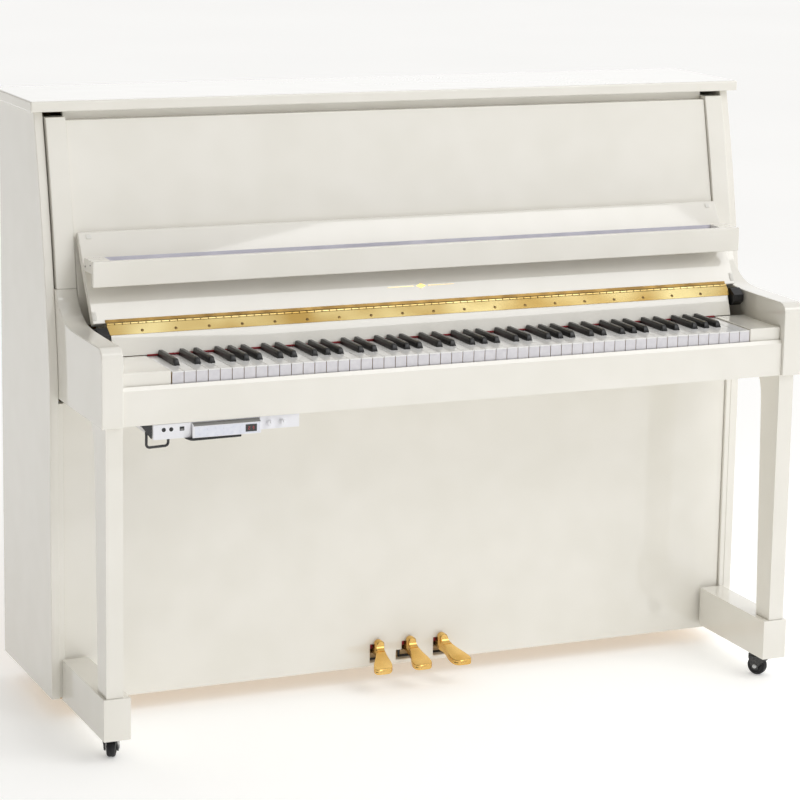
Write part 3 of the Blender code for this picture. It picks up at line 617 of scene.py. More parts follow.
# ---- fallboard, hinge and music tray ----
board = {"pin": (-0.118, 0.805), "lean": 31.0, "half": 0.6965, "face": 0.0035, "thick": 0.015, "low": 0.004,
         "high": 0.1935, "edge": 0.0018, "barrel": 0.0031, "hingeHalf": 0.672, "knuckle": 0.0157,
         "leafTop": 0.0105, "screwPitch": 0.0672, "screws": 19}


def onBoard(along, out):
    # y and z of a point on the open fallboard: along it from the pin, and out from its face side
    lean = math.radians(board["lean"])
    return (board["pin"][0] + along * math.sin(lean) - out * math.cos(lean),
            board["pin"][1] + along * math.cos(lean) + out * math.sin(lean))


def boardPoint(x, along, out):
    return (x, *onBoard(along, out))


face, back = -board["face"], -board["face"] - board["thick"]
bm = bmesh.new()
crown = [onBoard(board["high"] - 0.0075 + 0.0075 * math.sin(math.radians(a)),
                 (face + back) / 2 + 0.0075 * math.cos(math.radians(a))) for a in range(0, 181, 15)]
addPrism(bm, [onBoard(board["low"], face)] + crown + [onBoard(board["low"], back)], -board["half"],
         board["half"])
makePiece("fallboard_finish", bm, [ivoryLacquer], "fallboard", ["fallboard"], board["edge"], 3, 50)

# white buffer pads at the board's top corners and its lower ends
buffers = {"top": (0.676, 0.181, 0.0055, 0.0045), "low": (0.6915, 0.0190, 0.0045, 0.0085), "proud": 0.0016}
bm = bmesh.new()
for x, along, wide, tall in (buffers["top"], buffers["low"]):
    for side in (-1, 1):
        rings = []
        for out, shrink in ((-0.0005, 1.0), (buffers["proud"] * 0.6, 1.0), (buffers["proud"], 0.82)):
            rings.append([boardPoint(side * x + a * shrink * wide, along + b * shrink * tall, face + out)
                          for a, b in ((-1, -0.7), (-0.7, -1), (0.7, -1), (1, -0.7), (1, 0.7), (0.7, 1),
                                       (-0.7, 1), (-1, 0.7))])
        addRings(bm, rings)
makePiece("fallboard_buffers", bm, [bufferRubber], "fallboard", crease=30)

# lugs on the board's face that carry the tray's pins
lug = {"inner": 0.6482, "outer": 0.6590, "pin": (-0.069, 0.910), "radius": 0.0041}
bm = bmesh.new()
outline = [onBoard(0.1020, face - 0.001), onBoard(0.1280, face - 0.001), onBoard(0.1240, face + 0.004)]
outline += arcPoints(lug["pin"], lug["radius"], 70, 240, 14)
for side in (-1, 1):
    addPrism(bm, outline, min(side * lug["inner"], side * lug["outer"]),
             max(side * lug["inner"], side * lug["outer"]))
makePiece("tray_lugs", bm, [ivoryLacquer], "fallboard", (), 0.0006, 2, 40)

# a plain inlaid lozenge between two thin bars, in place of lettering
ornament = {"middle": -0.012, "along": 0.0415, "lozenge": (0.011, 0.0055), "bar": 0.052, "gap": 0.020,
            "proud": 0.0003}
bm = bmesh.new()


def addInlay(corners):
    rings = [[boardPoint(ornament["middle"] + x, ornament["along"] + a, out) for x, a in corners]
             for out in (face - 0.0005, face + ornament["proud"])]
    addRings(bm, rings)


wide, tall = ornament["lozenge"]
addInlay([(-wide, 0), (0, -tall), (wide, 0), (0, tall)])
for side in (-1, 1):
    start, end = side * ornament["gap"], side * (ornament["gap"] + ornament["bar"])
    addInlay([(start, -0.0006), (end, -0.0003), (end, 0.0003), (start, 0.0006)])
    addInlay([(start - side * 0.004, 0), (start - side * 0.0025, -0.0015), (start - side * 0.001, 0),
              (start - side * 0.0025, 0.0015)])
makePiece("fallboard_inlay", bm, [hingeBrassPaintedReflections], "fallboard")

# the base strip under the hinge
low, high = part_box("fallboard_base")
bm = bmesh.new()
addPrism(bm, [(-0.1480, low.z), (-0.1468, 0.7518), (-0.1402, 0.7710), (-0.1345, 0.7865), (-0.1225, 0.8000),
              (-0.1130, 0.7890), (-0.0405, 0.7890), (-0.0405, 0.7770), (-0.0950, 0.7770),
              (-0.0950, low.z)], low.x, high.x)
makePiece("fallboard_base_finish", bm, [ivoryLacquer], "case", ["fallboard_base"], 0.0010)

# piano hinge: a fixed leaf on the base's slope, a moving leaf on the board, and knuckles that take turns
rise = Vector((0.0120, 0.0135)).normalized()
lift = Vector((-rise.y, rise.x))
foot = Vector((-0.1345, 0.7865)) + lift * 0.0003 + rise * 0.0005
pin = Vector(board["pin"])
bm = bmesh.new()
leafTop = pin - rise * 0.0028
addPrism(bm, [tuple(foot), tuple(foot + lift * 0.0012), tuple(leafTop + lift * 0.0015),
              tuple(leafTop + lift * 0.0003)], -board["hingeHalf"], board["hingeHalf"])
knuckles = round(2 * board["hingeHalf"] / board["knuckle"])
span = 2 * board["hingeHalf"] / knuckles
knuckleProfile = [(0.0003, 0.0022), (0.0006, 0.0028), (0.0010, board["barrel"]),
                  (span - 0.0010, board["barrel"]), (span - 0.0006, 0.0028), (span - 0.0003, 0.0022)]
for i in range(0, knuckles, 2):
    addTurned(bm, knuckleProfile, (-board["hingeHalf"] + i * span, *board["pin"]), (1, 0, 0), 16)
addTurned(bm, [(0, 0.0012), (2 * board["hingeHalf"] - 0.002, 0.0012)],
          (-board["hingeHalf"] + 0.001, *board["pin"]), (1, 0, 0), 8)
makePiece("hinge_fixed_finish", bm, [hingeBrassPaintedReflections], "case", ["hinge_leaf_fixed"], crease=30)

bm = bmesh.new()
# the moving leaf takes the darker brass, its painted shade
addPrism(bm, [onBoard(0.0045, face + 0.0003), onBoard(0.0045, -0.0020), onBoard(board["leafTop"], -0.0022),
              onBoard(board["leafTop"], face + 0.0003)], -board["hingeHalf"], board["hingeHalf"], "x", 1)
for i in range(1, knuckles, 2):
    addTurned(bm, knuckleProfile, (-board["hingeHalf"] + i * span, *board["pin"]), (1, 0, 0), 16)
makePiece("hinge_moving_finish", bm, [hingeBrassPaintedReflections, shadedLeafBrass], "fallboard", ["hinge_leaf_moving"],
          crease=30)

# countersunk slotted screws along the fixed leaf
bm = bmesh.new()
lean = Vector((0, lift.x, lift.y))
slope = Vector((0, rise.x, rise.y))
for i in range(board["screws"]):
    x = (i - (board["screws"] - 1) / 2) * board["screwPitch"]
    middle = foot + rise * 0.0068 + lift * 0.00125
    centre = Vector((x, middle.x, middle.y))
    addTurned(bm, [(-0.0004, 0.0031), (0.0001, 0.0031), (0.0004, 0.0024), (0.0005, 0.0010)], centre, lean, 18)
    turn = Matrix.Rotation(math.radians(37 * i % 180), 3, lean)
    wide, thin = turn @ Vector((0.0022, 0, 0)), turn @ (slope * 0.0003)
    addRings(bm, [[centre + wide * a + thin * b + lean * out for a, b in ((-1, -1), (1, -1), (1, 1), (-1, 1))]
                  for out in (0.0002, 0.00062)], 1)
makePiece("hinge_screws", bm, [shadedLeafBrass, blackEnamel], "case", crease=30)

# music tray: white end cheeks with dark pins, and a thin shelf and low back wall lined in leatherette
tray = {"cheekLow": 0.9015, "cheekHigh": 0.9258, "cheekFront": -0.1078, "cheekBack": -0.0617, "nose": 0.008,
        "shelfHalf": 0.664, "cheekIn": 0.6595, "cheekOut": 0.6975}
bm = bmesh.new()
addBlock(bm, (-tray["shelfHalf"], -0.1060, 0.9152), (tray["shelfHalf"], -0.0635, 0.9174), 0)
addBlock(bm, (-tray["cheekIn"], -0.1056, 0.9174), (tray["cheekIn"], -0.0662, 0.9180), 1)
# the lined wall at the back
addBlock(bm, (-tray["cheekIn"], -0.0662, 0.9172), (tray["cheekIn"], -0.0638, 0.9252), 1)
for x in (-0.330, 0.330):
    addBlock(bm, (x - 0.010, -0.1050, 0.9128), (x + 0.010, -0.0660, 0.9152), 0)
nose = arcPoints((tray["cheekFront"] + tray["nose"], tray["cheekHigh"] - tray["nose"]), tray["nose"], 90, 180,
                 10)
tail = arcPoints((tray["cheekBack"] - 0.004, tray["cheekHigh"] - 0.004), 0.004, 0, 90, 5)
for side in (-1, 1):
    inner, outer = side * tray["cheekIn"], side * tray["cheekOut"]
    outline = [(tray["cheekBack"], tray["cheekLow"])] + tail + nose + [(tray["cheekFront"], tray["cheekLow"])]
    addPrism(bm, outline, min(inner, outer), max(inner, outer), "x", 2)
makePiece("tray_finish", bm, [shadedLeafBrass, trayLeatherette, ivoryLacquer], "music_tray",
          ["tray_shelf"], 0.0008, 3, 50)
bm = bmesh.new()
for side in (-1, 1):
    for y, z in ((-0.069, 0.910), (-0.100, 0.9165)):
        for x, way in ((side * (tray["cheekOut"] - 0.0006), side),
                       (side * (tray["cheekIn"] + 0.0006), -side)):
            addTurned(bm, [(0.0, 0.0019), (0.0009, 0.0019), (0.0012, 0.0012)], (x, y, z), (way, 0, 0), 14)
makePiece("tray_pins", bm, [blackEnamel], "music_tray")

low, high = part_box("tray_bar")
bm = bmesh.new()
addBlock(bm, low, high)
makePiece("tray_bar_finish", bm, [ivoryLacquer], "music_bar", ["tray_bar"], 0.0018, 4)

# moulded dampers that slow the fallboard at its two ends, with a turned spindle cap
for label, side in (("left", -1), ("right", 1)):
    low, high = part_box("fallboard_damper_" + label)
    bm = bmesh.new()
    shell = [(-0.1500, 0.7905), (-0.1500, 0.7760), (-0.1370, 0.7665), (-0.1060, 0.7665), (-0.1000, 0.7800),
             (-0.1120, 0.7970), (-0.1320, 0.8020)]
    addPrism(bm, shell, low.x + 0.001, high.x - 0.001)
    middle = Vector(((low.x + high.x) / 2 - side * 0.0055, -0.1250, 0.7850))
    addTurned(bm, [(-0.002, 0.0110), (0.0012, 0.0110), (0.0022, 0.0095), (0.0024, 0.0040), (0.0040, 0.0036),
                   (0.0044, 0.0028)], middle, (-side, 0, 0), 24, 1)
    makePiece("fallboard_damper_" + label + "_finish", bm, [blackAbs, blackEnamel], "case",
              ["fallboard_damper_" + label], 0.0014, 3, 30)
print("fallboard, hinge and tray made")


# ---- control unit under the keybed ----
# grey ABS for the knob pointers and the port, and for the painted shadow strip along the unit's top edge
greyAbsAndPaintedShadow = grainedMaterial("moulded grey ABS and painted shadow", {"IOR": 1.53}, (0.0008, 2.0), ("#8B8A88", "#9A9997"),
                          (0.35, 0.5))
panelFilm = grainedMaterial("printed lavender control film",
                            {"IOR": 1.49, "Coat Weight": 0.3, "Coat Roughness": 0.12}, (0.01, 1.0),
                            ("#E2E5F1", "#EAECF5"), (0.2, 0.3))

unit = {"deskLeft": -0.5655, "deskRight": -0.4300, "deskFront": -0.3070, "deskLow": 0.6190,
        "window": (-0.4612, -0.4388, 0.6235, 0.6375), "digits": (-0.4560, -0.4478), "digitTall": 0.0052}
low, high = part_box("control_unit")
bm = bmesh.new()
addBlock(bm, (low.x, -0.2955, 0.6225), (high.x, high.y, high.z), 0)
addBlock(bm, (unit["deskRight"] + 0.0004, -0.2978, 0.6230), (high.x, -0.2950, 0.6484), 0)
addPrism(bm, [(unit["deskFront"], unit["deskLow"]), (unit["deskFront"], 0.6408), (-0.2985, 0.6452),
              (-0.2000, 0.6452), (-0.2000, unit["deskLow"])], unit["deskLeft"], unit["deskRight"], "x", 0)
makePiece("control_unit_finish", bm, [unitAbs], "case", ["control_unit"], 0.0007, 3, 25)
# a grey strip on the desk's sloped top edge: painted shadow under the key slip
bm = bmesh.new()
addPrism(bm, [(-0.3066, 0.6414), (-0.2988, 0.6456), (-0.2960, 0.6456), (-0.2960, 0.6440), (-0.3050, 0.6400)],
         unit["deskLeft"] + 0.0030, unit["deskRight"] - 0.0010)
makePiece("unit_top_shadow_strip", bm, [greyAbsAndPaintedShadow], "case")

# the film, its raised keys, the window and two lit digits
bm = bmesh.new()
addBlock(bm, (unit["deskLeft"] + 0.0040, unit["deskFront"] - 0.0002, 0.6205),
         (unit["deskRight"] - 0.0025, unit["deskFront"] + 0.001, 0.6398))
for row in (0.6255, 0.6345):
    for x in (-0.551, -0.535, -0.519, -0.503, -0.487, -0.471):
        addTurned(bm, [(0.0, 0.0019), (0.0004, 0.0018), (0.0006, 0.0012)],
                  (x, unit["deskFront"] - 0.0001, row), (0, -1, 0), 14)
makePiece("unit_film", bm, [panelFilm], "case")
bm = bmesh.new()
x0, x1, z0, z1 = unit["window"]
addBlock(bm, (x0, unit["deskFront"] - 0.0009, z0), (x1, unit["deskFront"] + 0.0005, z1))
makePiece("unit_window", bm, [smokedAcrylic], "case", (), 0.0005, 3)
bm = bmesh.new()
wide, tall, thick = 0.0030, unit["digitTall"] / 2, 0.00045
segments = {"a": ((0, 2 * tall), (1, 0)), "g": ((0, tall), (1, 0)), "d": ((0, 0), (1, 0)),
            "f": ((0, 1.5 * tall), (0, 1)), "b": ((wide, 1.5 * tall), (0, 1)), "e": ((0, 0.5 * tall), (0, 1)),
            "c": ((wide, 0.5 * tall), (0, 1))}
for left, lit in zip(unit["digits"], ("abged", "abgcd")):
    for name in lit:
        (dx, dz), (flat, upright) = segments[name]
        middle = (left + dx + flat * wide / 2, 0.6279 + dz)
        reachX = wide / 2 - 0.0004 if flat else thick / 2
        reachZ = tall / 2 - 0.0003 if upright else thick / 2
        addBlock(bm, (middle[0] - reachX, unit["deskFront"] - 0.0011, middle[1] - reachZ),
                 (middle[0] + reachX, unit["deskFront"] - 0.0008, middle[1] + reachZ))
makePiece("unit_digits", bm, [litSegment], "case")

# black tray lip under the desk, drawn to a point at its left end
bm = bmesh.new()
addPrism(bm, [(-0.5790, 0.6186), (-0.4690, 0.6186), (-0.4700, 0.6150), (-0.5640, 0.6142), (-0.5700, 0.6150)],
         -0.3078, -0.2400, "y")
makePiece("unit_lip", bm, [blackAbs], "case", (), 0.0006, 2)

# jack plate with two socket bushes and a port
low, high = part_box("jack_plate")
bm = bmesh.new()
addBlock(bm, (low.x, low.y + 0.0004, low.z), (high.x, high.y, high.z), 0)
for x in (-0.6195, -0.6050):
    addTurned(bm, [(-0.0020, 0.0041), (0.0001, 0.0041), (0.0004, 0.0036), (0.0004, 0.0027), (0.0001, 0.0025)],
              (x, low.y + 0.0004, 0.6375), (0, -1, 0), 24, 1)
addBlock(bm, (-0.5885, low.y + 0.0001, 0.6336), (-0.5795, low.y + 0.0008, 0.6414), 1)
addBlock(bm, (-0.5872, low.y - 0.0001, 0.6352), (-0.5808, low.y + 0.0004, 0.6372), 2)
makePiece("jack_plate_finish", bm, [unitAbs, blackAbs, greyAbsAndPaintedShadow], "case", ["jack_plate"],
          0.0004, 2)

# knobs: a skirt, a waist and a capped grip with a pointer rib
for node in ("volume_knob", "mode_knob"):
    low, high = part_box(node)
    middle = Vector(((low.x + high.x) / 2, high.y, (low.z + high.z) / 2))
    bm = bmesh.new()
    addTurned(bm, [(0.0, 0.0070), (0.0012, 0.0070), (0.0018, 0.0064), (0.0022, 0.0055), (0.0095, 0.0051),
                   (0.0108, 0.0049), (0.0117, 0.0042), (0.0120, 0.0030)], middle, (0, -1, 0), 40, 0)
    for k in range(20):
        angle = 2 * math.pi * k / 20
        spot = middle + Vector((0.0053 * math.cos(angle), -0.0060, 0.0053 * math.sin(angle)))
        addTurned(bm, [(-0.0035, 0.0004), (0.0035, 0.0004)], spot, (0, -1, 0), 6, 0)
    addBlock(bm, (middle.x - 0.0004, low.y - 0.00005, middle.z),
             (middle.x + 0.0004, low.y + 0.0006, middle.z + 0.0040), 1)
    makePiece(node + "_finish", bm, [unitAbs, greyAbsAndPaintedShadow], node, [node])

# headphone hook: a bent rod under a folded steel bracket
hook = {"rod": 0.0026, "y": -0.288, "left": -0.6495, "right": -0.6070, "low": 0.6035, "tip": 0.6160,
        "bend": 0.0065}
bend, bottom = hook["bend"], hook["low"]
route = [(hook["left"], 0.6450), (hook["left"], bottom + bend)]
route += arcPoints((hook["left"] + bend, bottom + bend), bend, 190, 260, 6)
route += [(hook["left"] + bend, bottom), (hook["right"] - bend, bottom + 0.001)]
route += arcPoints((hook["right"] - bend, bottom + bend + 0.001), bend, 280, 350, 6)
route += [(hook["right"], bottom + bend + 0.002), (hook["right"], hook["tip"])]
bm = bmesh.new()
addRod(bm, [(x, hook["y"], z) for x, z in route], hook["rod"], 16, 0)
bmesh.ops.create_uvsphere(bm, u_segments=16, v_segments=8, radius=hook["rod"] * 1.08,
                          matrix=Matrix.Translation((hook["right"], hook["y"], hook["tip"])))
addPrism(bm, [(-0.6640, 0.6486), (-0.6412, 0.6486), (-0.6412, 0.6215), (-0.6432, 0.6215), (-0.6590, 0.6430)],
         -0.2962, -0.2945, "y")
addBlock(bm, (-0.6638, -0.2955, 0.6465), (-0.6414, -0.2300, 0.6486))
addTurned(bm, [(-0.001, 0.0042), (0.0010, 0.0042), (0.0022, 0.0028)], (-0.6525, -0.2600, 0.6465), (0, 0, -1),
          18)
makePiece("headphone_hook_finish", bm, [blackEnamel], "case", ["headphone_hook"], crease=40)
print("control unit and hook made")


# ---- pedals ----
# sections hold y, half width, low and high z along the paddle
pedals = {"middle": 0.004, "neckPitch": 0.071, "tipPitch": 0.090, "fanStart": -0.045, "fanLength": 0.067,
          "rim": 0.0014, "groove": 0.0009,
          "sections": [(0.045, 0.0085, 0.0640, 0.0790), (-0.030, 0.0085, 0.0640, 0.0790),
                       (-0.046, 0.0088, 0.0608, 0.0800), (-0.054, 0.0092, 0.0600, 0.0796),
                       (-0.063, 0.0110, 0.0585, 0.0762), (-0.072, 0.0132, 0.0562, 0.0722),
                       (-0.080, 0.0160, 0.0538, 0.0686), (-0.088, 0.0186, 0.0514, 0.0653),
                       (-0.096, 0.0202, 0.0492, 0.0622), (-0.102, 0.0203, 0.0479, 0.0600),
                       (-0.107, 0.0186, 0.0470, 0.0585), (-0.1105, 0.0150, 0.0465, 0.0576),
                       (-0.1120, 0.0105, 0.0464, 0.0572)]}


def pedalMiddle(side, y):
    # the two outer pedals fan out from the panel to their tips
    fan = side * (pedals["tipPitch"] - pedals["neckPitch"])
    reach = max(0.0, (pedals["fanStart"] - y) / pedals["fanLength"])
    return pedals["middle"] + side * pedals["neckPitch"] + fan * reach


def pedalRing(x, y, half, low, high):
    # half outline from the top rim down past the side groove, mirrored for the other side
    rim, cut, middle = pedals["rim"], pedals["groove"], (low + high) / 2 + 0.001
    side = [(half - rim * 1.6, high), (half - rim * 0.4, high - rim * 0.35), (half, high - rim * 1.3),
            (half, middle + 0.0014), (half - cut, middle + 0.0007), (half - cut, middle - 0.0005),
            (half, middle - 0.0012), (half, low + rim), (half - rim, low)]
    return [(x + a, y, z) for a, z in side] + [(x - a, y, z) for a, z in reversed(side)]


for label, side in (("left", -1), ("middle", 0), ("right", 1)):
    neck = pedals["middle"] + side * pedals["neckPitch"]
    rings = [pedalRing(pedalMiddle(side, y), y, half, low, high)
             for y, half, low, high in smoothLine(pedals["sections"], 5)]
    bm = bmesh.new()
    addRings(bm, rings)
    # the boss: an arched block with a flat facet to the player
    arch = [(neck - 0.0088, 0.0700), (neck - 0.0088, 0.0885)]
    arch += [(neck + 0.0088 * math.cos(a), 0.0885 + 0.0082 * math.sin(a))
             for a in (math.radians(d) for d in range(165, 0, -15))]
    arch += [(neck + 0.0088, 0.0885), (neck + 0.0088, 0.0700)]
    inset = [(neck + (x - neck) * 0.80, 0.0700 + (z - 0.0700) * 0.93) for x, z in arch]
    depths = [(-0.0352, arch), (-0.0480, arch), (-0.0505, inset)]
    addRings(bm, [[(x, y, z) for x, z in shape] for y, shape in depths])
    fillet = smoothLine([(-0.0495, 0.0905), (-0.0512, 0.0850), (-0.0545, 0.0812), (-0.0600, 0.0784)], 4)
    rings = []
    for i, (front, top) in enumerate(fillet):
        half = 0.0070 + 0.0020 * i / (len(fillet) - 1)
        corners = ((-1, front, top), (1, front, top), (1, front + 0.004, 0.0700), (-1, front + 0.004, 0.0700))
        rings.append([(pedalMiddle(side, y) + a * half, y, z) for a, y, z in corners])
    addRings(bm, rings)
    makePiece("pedal_" + label + "_finish", bm, [pedalBrass], "pedal_" + label,
              ["pedal_" + label], crease=42)

# red felt bushes in the upper corners of the pedal holes, and behind them a black lining, painted shade
# inside the holes
bm = bmesh.new()
for side in (-1, 0, 1):
    x = pedals["middle"] + side * pedals["neckPitch"]
    for way in (-1, 1):
        inner, outer = x + way * 0.0108, x + way * 0.0150
        curl = smoothLine([(inner, 0.0842), (inner - way * 0.0002, 0.0800), (inner + way * 0.0010, 0.0772),
                           (outer, 0.0766)], 3)
        addPrism(bm, curl + [(outer, 0.0842)], -0.0310, -0.0140, "y")
makePiece("pedal_bushes", bm, [redFelt], "case", crease=50)
bm = bmesh.new()
# the black frame round each hole stands in for the shade inside it
lining = {"half": 0.0155, "low": 0.0455, "high": 0.0850, "wide": 0.0040}
for side in (-1, 0, 1):
    x = pedals["middle"] + side * pedals["neckPitch"]
    x0, x1 = x - lining["half"], x + lining["half"]
    low, high, wide = lining["low"], lining["high"], lining["wide"]
    addPrism(bm, [(x0, low), (x0, high), (x0 + wide, high), (x0 + wide, low + wide), (x1 - wide, low + wide),
                  (x1 - wide, high), (x1, high), (x1, low)], -0.0115, -0.0085, "y")
makePiece("pedal_hole_shade_lining", bm, [blackAbs], "case")
print("pedals made")


# ---- casters ----
casters = {"cheekIn": 0.0107, "cheekOut": 0.0143, "tyreHalf": 0.00825}


def standCaster(bm, centre, yaw):
    # a caster is drawn at the origin, turned about its stem and stood in its place
    bmesh.ops.transform(bm, matrix=Matrix.Translation(centre) @ Matrix.Rotation(yaw, 4, "Z"), verts=bm.verts)


for label, x, y, radius, top, trail, yaw, wheelBody, forkBody in (
        ("front_left", -0.7115, -0.262, 0.020, 0.0477, 0.012, -25, "wheel_left", "caster_left"),
        ("front_right", 0.7115, -0.262, 0.020, 0.0477, 0.012, 35, "wheel_right", "caster_right"),
        ("rear_left", -0.655, 0.255, 0.024, 0.0597, 0.0, 0, "rear_wheel_left", "case"),
        ("rear_right", 0.655, 0.255, 0.024, 0.0597, 0.0, 0, "rear_wheel_right", "case")):
    shoulder = top - 0.0045
    cheek = [(-0.0135, shoulder), (-0.0135, shoulder - 0.004), (trail - 0.0088, radius + 0.001)]
    cheek += arcPoints((trail, radius), 0.0086, 190, 350, 10)
    cheek += [(trail + 0.0150, shoulder - 0.006), (trail + 0.0150, shoulder)]
    bm = bmesh.new()
    for way in (-1, 1):
        inner, outer = way * casters["cheekIn"], way * casters["cheekOut"]
        addPrism(bm, cheek, min(inner, outer), max(inner, outer))
        addTurned(bm, [(0.0, 0.0046), (0.0007, 0.0046), (0.0012, 0.0036), (0.0012, 0.0022), (0.0004, 0.0016)],
                  (outer, trail, radius), (way, 0, 0), 20, 1)
    # the hood between the cheeks follows the wheel over its top
    hood = [(-0.0135, shoulder - 0.003), (-0.0135, top - 0.0010), (trail + 0.0150, top - 0.0010),
            (trail + 0.0150, shoulder - 0.003)]
    addPrism(bm, hood, -casters["cheekOut"], casters["cheekOut"])
    addTurned(bm, [(0.0, 0.0150), (-0.0016, 0.0150), (-0.0024, 0.0140), (-0.0042, 0.0128), (-0.0048, 0.0100)],
              (0, 0, top), (0, 0, 1), 28, 0)
    standCaster(bm, (x, y, 0), math.radians(yaw))
    makePiece(label + "_fork_finish", bm, [blackEnamel, turnedSteel], forkBody,
              [label + "_fork"], 0.0005, 2, 40)

    half = casters["tyreHalf"]
    bm = bmesh.new()
    addTurned(bm, [(-half + 0.0012, 0.0050), (-half + 0.0012, radius - 0.0072), (-half, radius - 0.0066),
                   (-half, radius - 0.0034), (-half + 0.0012, radius - 0.0012),
                   (-half + 0.0032, radius - 0.0002), (-0.0012, radius), (-0.0008, radius - 0.0007),
                   (0.0008, radius - 0.0007), (0.0012, radius), (half - 0.0032, radius - 0.0002),
                   (half - 0.0012, radius - 0.0012), (half, radius - 0.0034), (half, radius - 0.0066),
                   (half - 0.0012, radius - 0.0072),
                   (half - 0.0012, 0.0050)], (0, trail, radius), (1, 0, 0), 48, 0)
    standCaster(bm, (x, y, 0), math.radians(yaw))
    makePiece(label + "_wheel_finish", bm, [tyreRubber], wheelBody, [label + "_wheel"],
              crease=30)
print("casters made")


# ---- lid hinge, action, plate and soundboard ----
inside = {"axis": (0.3006, 1.1885), "barrel": 0.0028, "ends": 0.700, "knuckle": 0.030, "gap": 0.0006,
          "pinRows": (1.080, 1.101, 1.122), "pinPitch": 0.0192, "pinFace": 0.1902, "bassEnd": -0.170,
          "stringLow": 0.155, "hammerPitch": 0.0145, "hammerTop": 0.998}
low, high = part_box("lid_hinge")
bm = bmesh.new()
x = -inside["ends"]
while x < inside["ends"] - 0.001:
    end = min(x + inside["knuckle"], inside["ends"])
    length, radius = end - x - inside["gap"], inside["barrel"]
    addTurned(bm, [(0.0, radius - 0.0004), (0.0004, radius), (length - 0.0004, radius),
                   (length, radius - 0.0004)], (x, *inside["axis"]), (1, 0, 0), 14)
    x = end
addTurned(bm, [(0.0, 0.0011), (2 * inside["ends"], 0.0011)], (-inside["ends"], *inside["axis"]), (1, 0, 0),
          10, 0)
addBlock(bm, (low.x, 0.2974, low.z), (high.x, 0.2986, 1.1880), 1)
for i in range(18):
    addTurned(bm, [(-0.0004, 0.0031), (0.0003, 0.0027), (0.0004, 0.0016), (0.0001, 0.0004)],
              (-0.680 + i * 0.08, 0.2986, 1.1640), (0, 1, 0), 14, 0)
makePiece("lid_hinge_finish", bm, [hingeBrassPaintedReflections, shadedLeafBrass], "case", ["lid_hinge"])

# the mute rail carries a hanging strip of felt
paintNode("mute_rail", railMaple)
low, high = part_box("mute_rail")
bm = bmesh.new()
drape = smoothLine([(low.y - 0.0002, low.z + 0.006), (low.y - 0.0010, low.z + 0.002),
                    (low.y + 0.0010, low.z - 0.0015), (high.y + 0.0004, low.z + 0.001)], 3)
addPrism(bm, drape + [(high.y + 0.0002, low.z + 0.006)], low.x + 0.01, high.x - 0.01)
makePiece("mute_felt", bm, [greenFelt], "mute_rail", crease=50)

# ribs glued across the back of the soundboard, seen between the posts
bm = bmesh.new()
posts = (-0.700, -0.350, 0.0, 0.350, 0.700)
for left, right in zip(posts, posts[1:]):
    x0, x1 = left + 0.0356, right - 0.0356
    for base in (0.11, 0.25, 0.39, 0.53, 0.67, 0.81, 0.95, 1.09, 1.23):
        z0, z1 = base - 0.22 * (x0 + 0.7), base - 0.22 * (x1 + 0.7)
        if z1 < 0.18 or z0 > 1.03:
            continue
        addPrism(bm, [(x0, z0), (x1, z1), (x1, z1 + 0.022), (x0, z0 + 0.022)], 0.2244, 0.2360, "y")
makePiece("soundboard_ribs", bm, [railMaple], "case", edge=0.002, segments=2)

# bolts through the posts and two carrying handles let into the top rail
bm = bmesh.new()
for x in posts:
    for z in (0.112, 1.092, 1.148):
        addTurned(bm, [(-0.001, 0.0110), (0.0008, 0.0106), (0.0012, 0.0090), (0.0012, 0.0072)],
                  (x, 0.2970, z), (0, 1, 0), 24, 0)
        addTurned(bm, [(0.0, 0.0070), (0.0022, 0.0070), (0.0028, 0.0062)], (x, 0.2970, z), (0, 1, 0), 6, 0)
makePiece("frame_bolts", bm, [turnedSteel], "case", crease=25)
bm = bmesh.new()
for x in (-0.175, 0.175):
    outline = []
    for way, first in ((1, -75), (-1, 105)):
        outline += arcPoints((x + way * 0.055, 1.120), 0.013, first, first + 150, 5)
    addPrism(bm, outline, 0.2968, 0.2974, "y")
makePiece("handle_cups", bm, [blackAbs], "case")

# tuning pins with a coil each, and the strings that run down over the plate
coils = bmesh.new()
wires = bmesh.new()
copper = bmesh.new()
struts = (-0.560, -0.150, 0.210, 0.540)
number = 0
x = -0.655
while x < 0.656:
    z = inside["pinRows"][number % 3]
    if min(abs(x - strut) for strut in struts) > 0.017:
        root = (x, inside["pinFace"], z)
        addTurned(coils, [(0.0, 0.0031), (-0.0185, 0.0031), (-0.0205, 0.0022)], root, (0, 1, 0), 6, 0,
                  random.uniform(0, 1))
        addTurned(coils, [(-0.0050, 0.0044), (-0.0086, 0.0044)], root, (0, 1, 0), 10)
        run, thick = (copper, 0.0011) if x < inside["bassEnd"] else (wires, 0.0006)
        addRod(run, [(x + 0.0042, 0.1834, z), (x + 0.0040, 0.1850, 1.058),
                     (x + 0.0030, 0.1850, inside["stringLow"])], thick, 5)
    x += inside["pinPitch"] / 3
    number += 1
makePiece("tuning_pins", coils, [turnedSteel], "case", crease=25)
makePiece("plain_strings", wires, [turnedSteel], "case", crease=60)
makePiece("wound_strings", copper, [copperWire], "case", crease=60)

# hammers: a felt head on a maple moulding and shank
heads = bmesh.new()
x = -0.640
while x < 0.641:
    addRod(heads, [(x, 0.0995, 0.880), (x, 0.1320, inside["hammerTop"] - 0.020)], 0.0024, 6, 1)
    tip = smoothLine([(0.1280, 0.9750), (0.1420, 0.9950), (0.1580, 0.9860), (0.1660, 0.9700),
                      (0.1560, 0.9600), (0.1400, 0.9560)], 3)
    addPrism(heads, tip, x - 0.0046, x + 0.0046)
    addPrism(heads, [(0.1180, 0.9720), (0.1300, 0.9860), (0.1480, 0.9720), (0.1360, 0.9580)], x - 0.0036,
             x + 0.0036, "x", 1)
    x += inside["hammerPitch"]
makePiece("hammers", heads, [whiteFelt, railMaple], "case", crease=40)
print("inside and back made")


